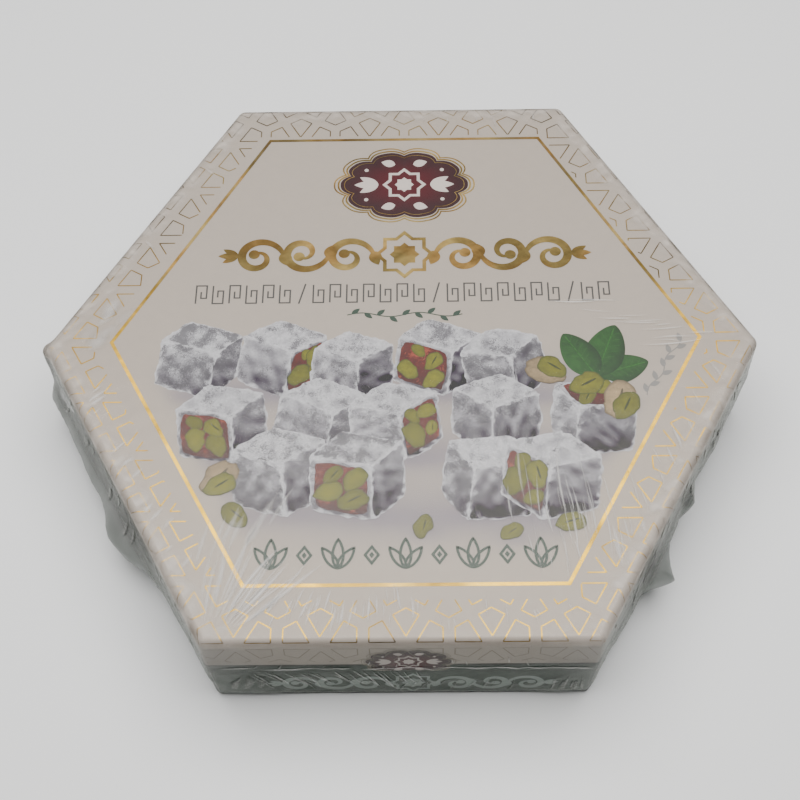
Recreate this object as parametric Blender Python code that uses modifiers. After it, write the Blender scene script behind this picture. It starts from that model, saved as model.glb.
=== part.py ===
"""Hexagonal gift carton of Turkish delight, shut and shrink-wrapped in clear film.

The carton lies flat: its two longest diagonals' ends point along X, two of its six sides face
front (-Y) and back (+Y), and the film's underside lies on z = 0 with the origin in its middle.
Three solids: the base, the lift-off lid over it, and the film round both.
"""
import math

import bmesh
import bpy
from mathutils import Matrix

MM = 0.001

# Carton, in millimetres
HALF_WIDTH = 110.0          # centre to a corner, along X
HALF_DEPTH = 99.0           # centre to the front or back side, along Y
LID_TOP = 40.6              # height of the lid's face above the ground
LID_SKIRT = 20.0            # height of the lid's side walls
LID_BOARD = 1.2             # wall of the lid, two layers of board
LID_EDGE_RADIUS = 2.2       # soft fold between the lid's face and its sides
CORNER_RADIUS = 1.0         # fold between two neighbouring sides
BASE_EDGE_RADIUS = 0.8      # fold between the base's floor and its sides
FIT_GAP = 0.3               # clearance between neighbouring pieces

# Film, in millimetres
FILM = 0.3                  # wall of the film
FILM_COLUMNS = 20           # columns of faces on each of the six walls
FILM_EDGE_STEPS = 3         # rings on the fold over the lid's edge
FILM_TUCK = 2.6             # the film's flat underside starts this far inside the base's outline
VENT_RADIUS = 4.0           # punched vent hole in the underside
VENT_X = 70.0
EAR_CENTRE = 5.35           # tip of the sealed ear, in walls counted from the +X corner
EAR_HEIGHT = 12.0
EAR_REACH = 6.6             # how far the ear stands out of the wall
EAR_RISE = 0.15             # the ear's long flank, in walls
EAR_FALL = 0.05             # its short flank

# Puffs where the shrunk film stands off the walls:
# place (in walls counted from the +X corner), half length (walls), reach (mm), height above ground (mm)
PUFFS = (
    (3.30, 0.34, 4.6, 13.0),    # long swell along the front left wall
    (3.53, 0.07, 2.8, 14.0),    # its bulge
    (2.86, 0.12, 1.6, 15.0),    # round the left corner
    (2.40, 0.20, 2.0, 12.0),    # back left wall
    (1.35, 0.12, 1.4, 14.0),    # back wall
    (1.72, 0.10, 1.2, 10.0),
    (0.55, 0.22, 1.8, 13.0),    # back right wall
    (5.60, 0.035, 2.2, 15.0),   # tab on the front right wall
    (5.22, 0.10, 1.0, 10.0),
    (4.12, 0.08, 0.8, 9.0),     # front wall, near its corners
    (4.90, 0.07, 0.9, 9.0),
)
PUFF_HALF_HEIGHT = 10.0

CAP_BOARD_COLOUR = (0.55, 0.51, 0.47, 1.0)
BASE_BOARD_COLOUR = (0.075, 0.105, 0.09, 1.0)
FILM_COLOUR = (0.82, 0.84, 0.83, 0.3)

WALLS = 6
SIDE_COS = math.cos(math.pi / WALLS)
DEPTH_STRETCH = HALF_DEPTH / (HALF_WIDTH * SIDE_COS)


def clear_scene():
    for old in list(bpy.data.objects):
        bpy.data.objects.remove(old, do_unlink=True)


def new_collection(name):
    collection = bpy.data.collections.new(name)
    bpy.context.scene.collection.children.link(collection)
    return collection


def material(name, colour, roughness):
    """Principled material with the piece's plain colour."""
    made = bpy.data.materials.new(name)
    made.use_nodes = True
    shader = made.node_tree.nodes["Principled BSDF"]
    shader.inputs["Base Color"].default_value = colour
    shader.inputs["Roughness"].default_value = roughness
    shader.inputs["Metallic"].default_value = 0.0
    shader.inputs["Alpha"].default_value = colour[3]
    return made


def add_object(name, mesh, collection, finish=None):
    piece = bpy.data.objects.new(name, mesh)
    collection.objects.link(piece)
    if finish is not None:
        mesh.materials.append(finish)
    return piece


def corner_radius_for(inset):
    """Distance from the centre to a corner, for sides moved inwards by inset."""
    return HALF_WIDTH - inset / SIDE_COS


def hexagonal_prism(inset, bottom, top, open_below=False):
    """Upright prism on the carton's hexagon, with its sides moved inwards by inset."""
    radius = corner_radius_for(inset)
    stand = Matrix.Translation((0.0, 0.0, (bottom + top) / 2.0))
    stretch = Matrix.Diagonal((1.0, DEPTH_STRETCH, 1.0, 1.0))
    turn = Matrix.Rotation(math.pi / 2.0, 4, "Z")
    shape = bmesh.new()
    bmesh.ops.create_cone(shape, cap_ends=True, segments=WALLS, radius1=radius, radius2=radius,
                          depth=top - bottom, matrix=stand @ stretch @ turn)
    if open_below:
        floor = min(shape.faces, key=lambda face: face.calc_center_median().z)
        bmesh.ops.delete(shape, geom=[floor], context="FACES_ONLY")
    bmesh.ops.scale(shape, vec=(MM, MM, MM), verts=shape.verts)
    return shape


def weigh_edges(shape, upright_weight):
    """Bevel weights: full on the level edges between two faces, less on the six upright ones."""
    layer = shape.edges.layers.float.new("bevel_weight_edge")
    for edge in shape.edges:
        low, high = sorted(corner.co.z for corner in edge.verts)
        if high - low > MM:
            edge[layer] = upright_weight
        elif not edge.is_boundary:
            edge[layer] = 1.0


def finish_mesh(shape, name):
    bmesh.ops.recalc_face_normals(shape, faces=shape.faces)
    mesh = bpy.data.meshes.new(name)
    shape.to_mesh(mesh)
    shape.free()
    return mesh


def round_edges(piece, radius, segments):
    bevel = piece.modifiers.new("soft folds", "BEVEL")
    bevel.limit_method = "WEIGHT"
    bevel.width = radius * MM
    bevel.segments = segments


def make_lid(collection):
    """The cap: an open hexagonal tray turned over, with a soft fold round its face."""
    shape = hexagonal_prism(0.0, LID_TOP - LID_SKIRT, LID_TOP, open_below=True)
    weigh_edges(shape, CORNER_RADIUS / LID_EDGE_RADIUS)
    lid = add_object("lid", finish_mesh(shape, "lid"), collection,
                     material("coated white board", CAP_BOARD_COLOUR, 0.4))
    round_edges(lid, LID_EDGE_RADIUS, 4)
    wall = lid.modifiers.new("board", "SOLIDIFY")
    wall.thickness = LID_BOARD * MM
    wall.offset = -1.0
    wall.use_even_offset = True
    return lid


def make_base(collection):
    """The shut base, full of sweets and closed by the lid: one solid block up to the lid's board."""
    floor = FILM + FIT_GAP
    shape = hexagonal_prism(LID_BOARD + FIT_GAP, floor, LID_TOP - LID_BOARD - FIT_GAP)
    weigh_edges(shape, 1.0)
    base = add_object("base", finish_mesh(shape, "base"), collection,
                      material("green board", BASE_BOARD_COLOUR, 0.45))
    round_edges(base, BASE_EDGE_RADIUS, 2)
    return base


def outline_point(place, offset):
    """Point of the hexagon's outline moved outwards by offset, place counting walls from the +X corner."""
    wall = int(place) % WALLS
    share = place - int(place)
    radius = corner_radius_for(-offset)
    ends = []
    for corner in (wall, wall + 1):
        angle = corner * 2.0 * math.pi / WALLS
        ends.append((radius * math.cos(angle), radius * math.sin(angle) * DEPTH_STRETCH))
    x = ends[0][0] + (ends[1][0] - ends[0][0]) * share
    y = ends[0][1] + (ends[1][1] - ends[0][1]) * share
    return x, y


def puff_reach(place, height):
    """How far the film stands off at one place: bell-shaped puffs plus the ear's uneven triangle."""
    reach = 0.0
    for centre, half_length, most, middle in PUFFS:
        along = (place - centre + WALLS / 2.0) % WALLS - WALLS / 2.0
        up = (height - middle) / PUFF_HALF_HEIGHT
        reach += most * math.exp(-(along / half_length) ** 2 - up ** 2)
    along = place - EAR_CENTRE
    flank = EAR_RISE if along > 0.0 else EAR_FALL
    up = (height - EAR_HEIGHT) / (0.6 * PUFF_HALF_HEIGHT)
    reach += EAR_REACH * max(0.0, 1.0 - abs(along) / flank) * math.exp(-up ** 2)
    return reach


def film_rings():
    """Rings of the film's outer face from top to bottom: (offset from the outline, height, puff share)."""
    skin = FIT_GAP + FILM
    fold = LID_EDGE_RADIUS + skin
    rings = []
    for step in range(FILM_EDGE_STEPS + 1):
        angle = step / FILM_EDGE_STEPS * math.pi / 2.0
        rings.append((skin - fold * (1.0 - math.sin(angle)),
                      LID_TOP + skin - fold * (1.0 - math.cos(angle)), 0.0))
    lid_foot = LID_TOP - LID_SKIRT
    base_wall = -(LID_BOARD + FIT_GAP) + skin
    rings.append((skin, 0.5 * (LID_TOP + lid_foot), 0.5))
    rings.append((skin, lid_foot - 0.2, 0.8))
    for share in (0.25, 0.5, 0.75):
        rings.append((skin + share * (base_wall - skin), lid_foot * (1.0 - share), 1.0))
    rings.append((base_wall, 2.0, 0.5))
    rings.append((base_wall - 0.3 * BASE_EDGE_RADIUS, 0.35, 0.15))
    rings.append((base_wall - FILM_TUCK, 0.0, 0.0))
    return rings


def make_film(collection, cutters):
    """Clear film: a loft from the taut hexagon on top, over the puffed walls, to the flat underside."""
    shape = bmesh.new()
    loops = []
    for offset, height, puff_share in film_rings():
        loop = []
        for column in range(WALLS * FILM_COLUMNS):
            place = column / FILM_COLUMNS
            reach = offset + puff_share * puff_reach(place, height)
            x, y = outline_point(place, reach)
            loop.append(shape.verts.new((x * MM, y * MM, height * MM)))
        loops.append(loop)
    for upper, lower in zip(loops, loops[1:]):
        for column in range(len(upper)):
            following = (column + 1) % len(upper)
            shape.faces.new((upper[column], lower[column], lower[following], upper[following]))
    shape.faces.new(loops[0])
    shape.faces.new(list(reversed(loops[-1])))
    film = add_object("film_wrap", finish_mesh(shape, "film_wrap"), collection,
                      material("clear shrink film", FILM_COLOUR, 0.1))
    wall = film.modifiers.new("film", "SOLIDIFY")
    wall.thickness = FILM * MM
    wall.offset = -1.0

    punch = bmesh.new()
    bmesh.ops.create_cone(punch, cap_ends=True, segments=16, radius1=VENT_RADIUS * MM,
                          radius2=VENT_RADIUS * MM, depth=2.0 * (FILM + 0.5 * FIT_GAP) * MM,
                          matrix=Matrix.Translation((VENT_X * MM, 0.0, 0.0)))
    cutter = add_object("vent_punch", finish_mesh(punch, "vent_punch"), cutters)
    cutter.hide_render = True
    cutter.display_type = "WIRE"
    vent = film.modifiers.new("vent", "BOOLEAN")
    vent.operation = "DIFFERENCE"
    vent.solver = "EXACT"
    vent.object = cutter
    return film


def main():
    clear_scene()
    box = new_collection("turkish_delight_gift_box")
    cutters = new_collection("cutters")
    make_base(box)
    make_lid(box)
    make_film(box, cutters)


main()
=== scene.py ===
import math

import bpy
import mathutils
import numpy as np
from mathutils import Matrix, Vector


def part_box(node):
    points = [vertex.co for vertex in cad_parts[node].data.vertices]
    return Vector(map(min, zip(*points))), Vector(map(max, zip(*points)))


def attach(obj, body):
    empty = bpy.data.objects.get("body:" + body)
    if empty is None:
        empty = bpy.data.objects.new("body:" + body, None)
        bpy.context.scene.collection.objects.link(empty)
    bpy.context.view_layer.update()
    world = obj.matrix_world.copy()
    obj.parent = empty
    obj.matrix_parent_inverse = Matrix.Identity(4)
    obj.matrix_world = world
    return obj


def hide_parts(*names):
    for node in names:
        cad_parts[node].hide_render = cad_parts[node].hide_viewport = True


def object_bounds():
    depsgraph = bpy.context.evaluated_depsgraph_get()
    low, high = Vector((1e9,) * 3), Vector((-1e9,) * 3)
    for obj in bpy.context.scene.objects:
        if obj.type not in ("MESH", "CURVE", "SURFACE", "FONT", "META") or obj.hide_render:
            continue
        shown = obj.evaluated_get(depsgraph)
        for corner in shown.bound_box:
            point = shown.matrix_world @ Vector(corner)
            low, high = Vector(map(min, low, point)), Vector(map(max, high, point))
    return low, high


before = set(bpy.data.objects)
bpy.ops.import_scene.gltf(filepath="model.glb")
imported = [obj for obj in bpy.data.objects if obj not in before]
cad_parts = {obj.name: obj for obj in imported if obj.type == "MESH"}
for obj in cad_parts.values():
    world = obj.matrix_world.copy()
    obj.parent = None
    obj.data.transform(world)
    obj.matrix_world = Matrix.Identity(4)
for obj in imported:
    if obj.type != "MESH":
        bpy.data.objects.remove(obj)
cad_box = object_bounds()

bl_info = {
    "name": "Hexagonal Sweets Carton",
    "version": (1, 0, 0),
    "blender": (4, 5, 0),
    "location": "3D View > Sidebar > Carton",
    "description": "Dresses a shrink-wrapped hexagonal carton of Turkish delight, piece by piece",
    "category": "Add Mesh",
}

MM = 0.001

# ------------------------------------------------------------------ the carton, read from the frame

LID_LOW, LID_HIGH = (np.array(corner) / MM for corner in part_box("lid"))
BASE_LOW, BASE_HIGH = (np.array(corner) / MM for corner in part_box("base"))
FILM_LOW, FILM_HIGH = (np.array(corner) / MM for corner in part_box("film_wrap"))

WALLS = 6
HALF_DEPTH = LID_HIGH[1]                    # centre to the front or back wall
HALF_WIDTH = HALF_DEPTH * 10.0 / 9.0        # centre to a corner: a little deeper than a regular hexagon
TOP = LID_HIGH[2]                           # the lid's face
LID_FOOT = LID_LOW[2]
LID_BOARD = 1.2                             # wall of the lid
FOLD_RADIUS = 2.2                           # soft fold round the lid's face
CORNER_RADIUS = 1.0                         # fold between two walls
BASE_INSET = HALF_DEPTH - BASE_HIGH[1]      # the base's walls stand this far inside the lid's
PRINT_SHIFT = np.array((1.33, 1.45))        # the print sits a little off the lid's centre


def hexagon_corners(half_width, half_depth):
    """Corners at angles k * 60 degrees: (half_width cos, half_depth / sin 60 * sin)."""
    angles = np.arange(WALLS) * 2.0 * math.pi / WALLS
    tall = half_depth / math.sin(math.pi / 3.0)
    return np.stack((half_width * np.cos(angles), tall * np.sin(angles)), axis=1)


CORNERS = hexagon_corners(HALF_WIDTH, HALF_DEPTH)
WALL_RUNS = np.roll(CORNERS, -1, axis=0) - CORNERS
WALL_LENGTHS = np.linalg.norm(WALL_RUNS, axis=1)
ALONG = WALL_RUNS / WALL_LENGTHS[:, None]
OUTWARD = np.stack((ALONG[:, 1], -ALONG[:, 0]), axis=1)
REACH = (OUTWARD * CORNERS).sum(axis=1)     # centre to each wall
FRONT_WALL = 4


# ------------------------------------------------------------------ numbers and curves

def smooth_step(values, low, high):
    """0 below low, 1 above high, 3 s^2 - 2 s^3 between."""
    share = np.clip((np.asarray(values, float) - low) / (high - low), 0.0, 1.0)
    return share * share * (3.0 - 2.0 * share)


def ripple(points, wavelength, seed, terms=7):
    """Uneven field of about -1 to 1: the mean-sized sum of sines sin(k . p + phase) in random directions."""
    draw = np.random.default_rng(seed)
    angles = draw.uniform(0.0, 2.0 * math.pi, terms)
    lengths = wavelength * draw.uniform(0.65, 1.5, terms)
    phases = draw.uniform(0.0, 2.0 * math.pi, terms)
    waves = 2.0 * math.pi / lengths[:, None] * np.stack((np.cos(angles), np.sin(angles)), axis=1)
    return np.sin(np.asarray(points) @ waves.T + phases).sum(axis=-1) / math.sqrt(1.6 * terms)


def turned(points, angle):
    """Points turned by angle (radians) about the origin."""
    c, s = math.cos(angle), math.sin(angle)
    return np.asarray(points) @ np.array(((c, s), (-s, c)))


def square_radius(angles):
    """Distance from the centre to the side of a square with corners at distance 1."""
    return math.sqrt(0.5) / np.cos((angles % (math.pi / 2.0)) - math.pi / 4.0)


def star_outline(radius, count=64):
    """Eight-pointed star, two squares turned by 45 degrees: r = max(square(t), square(t + 45))."""
    angles = np.arange(count) * 2.0 * math.pi / count
    reach = radius * np.maximum(square_radius(angles), square_radius(angles + math.pi / 4.0))
    return np.stack((reach * np.cos(angles), reach * np.sin(angles)), axis=1)


def lobed_outline(half_width, half_height, lobes=8, depth=0.1, count=240):
    """Ellipse whose radius is cut by cusps: 1 - depth (1 - |cos(lobes t / 2)|)^1.5, deepest between the lobes."""
    angles = np.arange(count) * 2.0 * math.pi / count
    reach = 1.0 - depth * (1.0 - np.abs(np.cos(lobes * angles / 2.0))) ** 1.5
    return np.stack((half_width * reach * np.cos(angles), half_height * reach * np.sin(angles)), axis=1)


def oval_outline(half_length, half_width, angle=0.0, count=28, taper=0.0, pinch=1.0):
    """Ellipse (a cos t, b sin t |sin t|^(pinch - 1) (1 + taper cos t)), turned by angle."""
    t = np.arange(count) * 2.0 * math.pi / count
    across = half_width * np.sin(t) * np.abs(np.sin(t)) ** (pinch - 1.0) * (1.0 + taper * np.cos(t))
    return turned(np.stack((half_length * np.cos(t), across), axis=1), angle)


def spiral_path(radius, turns, tightness, side, count=48):
    """Scroll that starts at the origin heading along +X and winds in: centre + r e^(-tightness s) at angle s."""
    s = np.linspace(0.0, turns * 2.0 * math.pi, count)
    reach = radius * np.exp(-tightness * s)
    return np.stack((reach * np.sin(s), side * (radius - reach * np.cos(s))), axis=1)


def rounded_ring(inset, radius, per_wall, per_corner):
    """The hexagon moved inwards by inset with corners of one radius, and its outward normals.

    Each corner is an arc round the meeting point of the two walls moved inwards by inset + radius; the
    walls between are straight. Starts at the arc of the +X corner.
    """
    before = np.roll(OUTWARD, 1, axis=0)
    lines = np.stack((before, OUTWARD), axis=1)
    reaches = np.stack((np.roll(REACH, 1), REACH), axis=1) - inset - radius
    centres = np.linalg.solve(lines, reaches[..., None])[..., 0]
    share = np.linspace(0.0, 1.0, per_corner)[None, :, None]
    turn = before[:, None] * (1.0 - share) + OUTWARD[:, None] * share
    turn /= np.linalg.norm(turn, axis=2, keepdims=True)
    arcs = centres[:, None] + radius * turn
    share = np.linspace(0.0, 1.0, per_wall + 2)[None, 1:-1, None]
    start = arcs[:, -1:]
    stop = np.roll(arcs[:, :1], -1, axis=0)
    walls = start + (stop - start) * share
    normals = np.repeat(OUTWARD[:, None], per_wall, axis=1)
    points = np.concatenate((arcs, walls), axis=1).reshape(-1, 2)
    return points, np.concatenate((turn, normals), axis=1).reshape(-1, 2)


# ------------------------------------------------------------------ meshes

def grid_faces(rows, columns, closed):
    """Quads of a grid numbered row by row; closed joins the last column to the first."""
    row = np.arange(rows - 1)[:, None] * columns
    column = np.arange(columns if closed else columns - 1)[None, :]
    following = (column + 1) % columns
    quads = np.stack((row + column, row + columns + column,
                      row + columns + following, row + following), axis=-1)
    return quads.reshape(-1, 4)


def build_mesh(name, points, face_groups):
    """Mesh from points (n, 3) in millimetres and groups of faces, each an array (faces, corners)."""
    mesh = bpy.data.meshes.new(name)
    sizes = np.concatenate([np.full(len(group), group.shape[1]) for group in face_groups])
    corners = np.concatenate([group.ravel() for group in face_groups])
    mesh.vertices.add(len(points))
    mesh.vertices.foreach_set("co", (np.asarray(points) * MM).astype(np.float32).ravel())
    mesh.loops.add(len(corners))
    mesh.loops.foreach_set("vertex_index", corners.astype(np.int32))
    mesh.polygons.add(len(sizes))
    mesh.polygons.foreach_set("loop_start", (np.cumsum(sizes) - sizes).astype(np.int32))
    mesh.update(calc_edges=True)
    mesh.validate()
    mesh.shade_smooth()
    return mesh


def add_piece(mesh, finish, replaced=()):
    """Object for a finished mesh, riding on the one body and standing for the replaced nodes."""
    old = bpy.data.objects.get(mesh.name)
    if old is not None:
        bpy.data.objects.remove(old, do_unlink=True)
    piece = bpy.data.objects.new(mesh.name, mesh)
    bpy.context.scene.collection.objects.link(piece)
    mesh.materials.append(finish)
    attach(piece, "root")
    if replaced:
        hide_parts(*replaced)
    return piece


def ring_shell(name, rings):
    """Closed surface through rings (rows, columns, 3), from the pole on top to the pole below."""
    rings = np.asarray(rings)
    rows, columns = rings.shape[:2]
    poles = np.stack((rings[0].mean(axis=0), rings[-1].mean(axis=0)))
    points = np.concatenate((rings.reshape(-1, 3), poles))
    column = np.arange(columns)
    following = (column + 1) % columns
    last = (rows - 1) * columns
    top = np.stack((np.full(columns, rows * columns), column, following), axis=1)
    bottom = np.stack((np.full(columns, rows * columns + 1), last + following, last + column), axis=1)
    return build_mesh(name, points, [grid_faces(rows, columns, True), top, bottom])


class Drawing:
    """Flat printed shapes gathered into one piece, as points on the unfolded board.

    An ink is a colour and, as a fourth part, 1 plus the wear of the printed subject there.
    """

    def __init__(self, ink=(1.0, 1.0, 1.0), layer=0.0):
        self.ink = ink
        self.layer = layer                  # each shape lies this much higher (mm) than the one before
        self.points, self.lifts, self.inks, self.walls, self.faces = [], [], [], [], []
        self.count = 0

    def keep(self, points, lift, ink, faces, wall):
        """Add points (..., 2) with their lift above the board (mm) and ink, and faces turned to face up."""
        ink = self.ink if ink is None else ink
        flat = np.asarray(points, float).reshape(-1, 2)
        grid = np.shape(points)[:-1]
        loop = flat[faces]
        following = np.roll(loop, -1, axis=1)
        area = (loop[..., 0] * following[..., 1] - following[..., 0] * loop[..., 1]).sum(axis=1)
        self.points.append(flat)
        self.lifts.append(np.broadcast_to(lift + self.layer * len(self.faces), grid).ravel())
        ink = np.asarray(ink, float)
        wear = ink[..., 3:] if ink.shape[-1] == 4 else np.ones((*ink.shape[:-1], 1))
        ink = np.concatenate((ink[..., :3], wear), axis=-1)
        self.inks.append(np.broadcast_to(ink, (*grid, 4)).reshape(-1, 4))
        self.walls.append(np.full(len(flat), wall))
        self.faces.append(np.where(area[:, None] < 0.0, faces[:, ::-1], faces) + self.count)
        self.count += len(flat)

    def grid(self, points, lift=0.0, ink=None, closed=False, wall=0):
        """Quads over a grid of points (rows, columns, 2)."""
        self.keep(points, lift, ink, grid_faces(*points.shape[:2], closed), wall)

    def field(self, outline, lift=0.0, ink=None, wall=0):
        """One face inside an outline (n, 2)."""
        self.keep(outline, lift, ink, np.arange(len(outline))[None], wall)

    def disc(self, outline, rings, lift, ink, wall=0):
        """Outline filled by rings shrinking to its middle; ink(points, share) colours share 0 to 1."""
        outline = np.asarray(outline)
        middle = outline.mean(axis=0)
        share = np.linspace(0.1, 1.0, rings)[:, None]
        points = middle + (outline - middle)[None] * share[..., None]
        inks = ink(points, share * np.ones(len(outline)))
        self.grid(points, lift, inks, True, wall)
        self.field(points[0], lift, inks[0], wall)

    def stroke(self, path, width, lift=0.0, ink=None, closed=False, wall=0):
        """Band along a path, p +- m width / 2, where m is the mitre: (n1 + n2) / (1 + n1 . n2)."""
        path = np.asarray(path, float)
        ahead = np.roll(path, -1, axis=0) - path
        if not closed:
            ahead[-1] = ahead[-2]
        ahead /= np.maximum(np.linalg.norm(ahead, axis=1, keepdims=True), 1e-9)
        normals = np.stack((-ahead[:, 1], ahead[:, 0]), axis=1)
        before = np.roll(normals, 1, axis=0)
        if not closed:
            before[0] = normals[0]
        mitre = (normals + before) / np.maximum(1.0 + (normals * before).sum(axis=1), 0.4)[:, None]
        side = mitre * (np.asarray(width, float) / 2.0).reshape(-1, 1)
        self.grid(np.stack((path - side, path + side), axis=0), lift, ink, closed, wall)

    def merge(self, other, turn, shift, wall):
        """Take over another drawing's shapes as points @ turn + shift on one wall."""
        for points, lifts, inks, faces in zip(other.points, other.lifts, other.inks, other.faces):
            first = faces.min()
            self.keep(points @ turn + shift, lifts, inks, faces - first, wall)

    def piece(self, name, finish, slot, place):
        """Mesh with place(points, lifts, walls) giving each point's position, and the ink attribute."""
        points = np.concatenate(self.points)
        positions = place(points, np.concatenate(self.lifts), np.concatenate(self.walls))
        by_size = {}
        for group in self.faces:
            by_size.setdefault(group.shape[1], []).append(group)
        mesh = build_mesh(name, positions, [np.concatenate(groups) for groups in by_size.values()])
        ink = mesh.attributes.new("ink", "FLOAT_COLOR", "POINT")
        ink.data.foreach_set("color", np.concatenate(self.inks).astype(np.float32).ravel())
        return add_piece(mesh, finish)


def on_lid(points, lifts, walls):
    """Unfolded print to the lid: flat, then round the fold as an arc, then straight down the wall.

    With q the distance past the fold's start along the wall's outward normal: angle = q / r up to 90
    degrees, out = r sin, down = r (1 - cos) + what is left of q. Print below the lid's foot is on the base.
    """
    points = points + PRINT_SHIFT
    out = OUTWARD[walls]
    start = REACH[walls] - FOLD_RADIUS
    past = (points * out).sum(axis=1) - start
    angle = np.clip(past / FOLD_RADIUS, 0.0, math.pi / 2.0)
    rest = np.maximum(past - FOLD_RADIUS * math.pi / 2.0, 0.0)
    radius = FOLD_RADIUS + lifts
    reach = np.where(past > 0.0, start + radius * np.sin(angle), past + start)
    height = TOP - FOLD_RADIUS + radius * np.cos(angle) - rest
    reach = np.where(height < LID_FOOT, reach - BASE_INSET, reach)
    flat = points + out * (reach - past - start)[:, None]
    return np.column_stack((flat, height))


def on_base(points, lifts, walls):
    """Points (along the wall from its middle, height above the ground) to the base's walls."""
    middles = (CORNERS + 0.5 * WALL_RUNS)[walls] - OUTWARD[walls] * BASE_INSET
    flat = middles + ALONG[walls] * points[:, :1] + OUTWARD[walls] * lifts[:, None]
    return np.column_stack((flat, points[:, 1]))


# ------------------------------------------------------------------ materials

def linear(code):
    """Linear colour from an sRGB hex value such as "#A1B2C3"."""
    values = np.array([int(code[at:at + 2], 16) for at in (1, 3, 5)]) / 255.0
    return tuple(np.where(values <= 0.04045, values / 12.92, ((values + 0.055) / 1.055) ** 2.4))


def add(tree, kind, links=None, **settings):
    """One shader node: settings are its own properties, links its inputs as values or other sockets."""
    node = tree.nodes.new(kind)
    for name, value in settings.items():
        setattr(node, name, value)
    for socket, source in (links or {}).items():
        if isinstance(source, bpy.types.NodeSocket):
            tree.links.new(source, node.inputs[socket])
        else:
            node.inputs[socket].default_value = source
    return node


def new_material(name):
    """Node material of that name, emptied, and its output."""
    made = bpy.data.materials.get(name) or bpy.data.materials.new(name)
    made.use_nodes = True
    made.node_tree.nodes.clear()
    return made, made.node_tree, add(made.node_tree, "ShaderNodeOutputMaterial")


def opaque(colour):
    return (*colour, 1.0)


def mix_colours(tree, share, first, second):
    """Colour between first and second; the mix node's sockets go by number as their names repeat."""
    mix = add(tree, "ShaderNodeMix", data_type="RGBA")
    for socket, source in ((0, share), (6, first), (7, second)):
        if isinstance(source, bpy.types.NodeSocket):
            tree.links.new(source, mix.inputs[socket])
        else:
            mix.inputs[socket].default_value = source
    return mix.outputs[2]


def board_material(name, colour, stripes=(), shaded=False):
    """Folding boxboard, calendered and clay-coated, printed and varnished: smooth, soft sheen, faint
    mottle of the coating at 3 mm and a fibre bump at 0.4 mm, which is drawn coarser than real fibres."""
    made, tree, output = new_material(name)
    place = add(tree, "ShaderNodeTexCoord").outputs["Object"]
    mottle = add(tree, "ShaderNodeTexNoise", {"Vector": place, "Scale": 1.0 / (3.0 * MM), "Detail": 4.0})
    shade = mix_colours(tree, mottle.outputs["Fac"], opaque(colour), opaque([0.93 * part for part in colour]))
    for height, stripe_colour in stripes:
        level = add(tree, "ShaderNodeSeparateXYZ", {"Vector": place}).outputs["Z"]
        below = add(tree, "ShaderNodeMath", {0: level, 1: height * MM}, operation="LESS_THAN")
        shade = mix_colours(tree, below.outputs[0], shade, opaque(stripe_colour))
    if shaded:
        tint = add(tree, "ShaderNodeAttribute", attribute_name="ink").outputs["Color"]
        shade = add(tree, "ShaderNodeVectorMath", {0: shade, 1: tint}, operation="MULTIPLY").outputs["Vector"]
    fibre = add(tree, "ShaderNodeTexNoise", {"Vector": place, "Scale": 1.0 / (0.4 * MM), "Detail": 3.0})
    bump = add(tree, "ShaderNodeBump", {"Height": fibre.outputs["Fac"], "Strength": 0.08,
                                        "Distance": 0.1 * MM})
    rough = add(tree, "ShaderNodeMapRange", {"Value": mottle.outputs["Fac"], "To Min": 0.36, "To Max": 0.5})
    shader = add(tree, "ShaderNodeBsdfPrincipled",
                 {"Base Color": shade, "Roughness": rough.outputs["Result"], "Normal": bump.outputs["Normal"],
                  "Specular Tint": (1.0, 0.9, 0.78, 1.0)})
    tree.links.new(shader.outputs["BSDF"], output.inputs["Surface"])
    return made


def ink_material(name, grain, grain_depth, crumbs=None, roughness=0.42):
    """Offset ink on the coated board under the same varnish. The ink attribute carries the colour; grain
    (mm) is the size of the printed subject's own mottle. crumbs (size mm, patch mm, threshold, tint) adds
    fine dark scribbles that gather in patches, as where dusting sugar has worn thin."""
    made, tree, output = new_material(name)
    place = add(tree, "ShaderNodeTexCoord").outputs["Object"]
    colour = add(tree, "ShaderNodeAttribute", attribute_name="ink").outputs["Color"]
    noise = add(tree, "ShaderNodeTexNoise", {"Vector": place, "Scale": 1.0 / (grain * MM), "Detail": 6.0,
                                             "Roughness": 0.65})
    depth = add(tree, "ShaderNodeMapRange", {"Value": noise.outputs["Fac"], "From Min": 0.3,
                                             "From Max": 0.7, "To Min": 1.0 - grain_depth,
                                             "To Max": 1.0 + 0.5 * grain_depth})
    colour = add(tree, "ShaderNodeVectorMath", {0: colour, "Scale": depth.outputs["Result"]},
                 operation="SCALE").outputs["Vector"]
    if crumbs is not None:
        size, patch, threshold, tint = crumbs
        fine = add(tree, "ShaderNodeTexNoise", {"Vector": place, "Scale": 1.0 / (size * MM), "Detail": 4.0,
                                                "Roughness": 0.7, "Distortion": 2.2})
        broad = add(tree, "ShaderNodeTexNoise", {"Vector": place, "Scale": 1.0 / (patch * MM), "Detail": 2.0})
        wear = add(tree, "ShaderNodeAttribute", attribute_name="ink").outputs["Alpha"]
        worn = add(tree, "ShaderNodeMath", {0: broad.outputs["Fac"], 1: 0.8, 2: fine.outputs["Fac"]},
                   operation="MULTIPLY_ADD")
        worn = add(tree, "ShaderNodeMath", {0: worn.outputs[0], 1: wear}, operation="ADD")
        dark = add(tree, "ShaderNodeMapRange", {"Value": worn.outputs[0], "From Min": threshold + 1.0,
                                                "From Max": threshold + 1.1, "To Max": 0.75})
        colour = mix_colours(tree, dark.outputs["Result"], colour, opaque(tint))
    shader = add(tree, "ShaderNodeBsdfPrincipled", {"Base Color": colour, "Roughness": roughness})
    tree.links.new(shader.outputs["BSDF"], output.inputs["Surface"])
    return made


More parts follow.
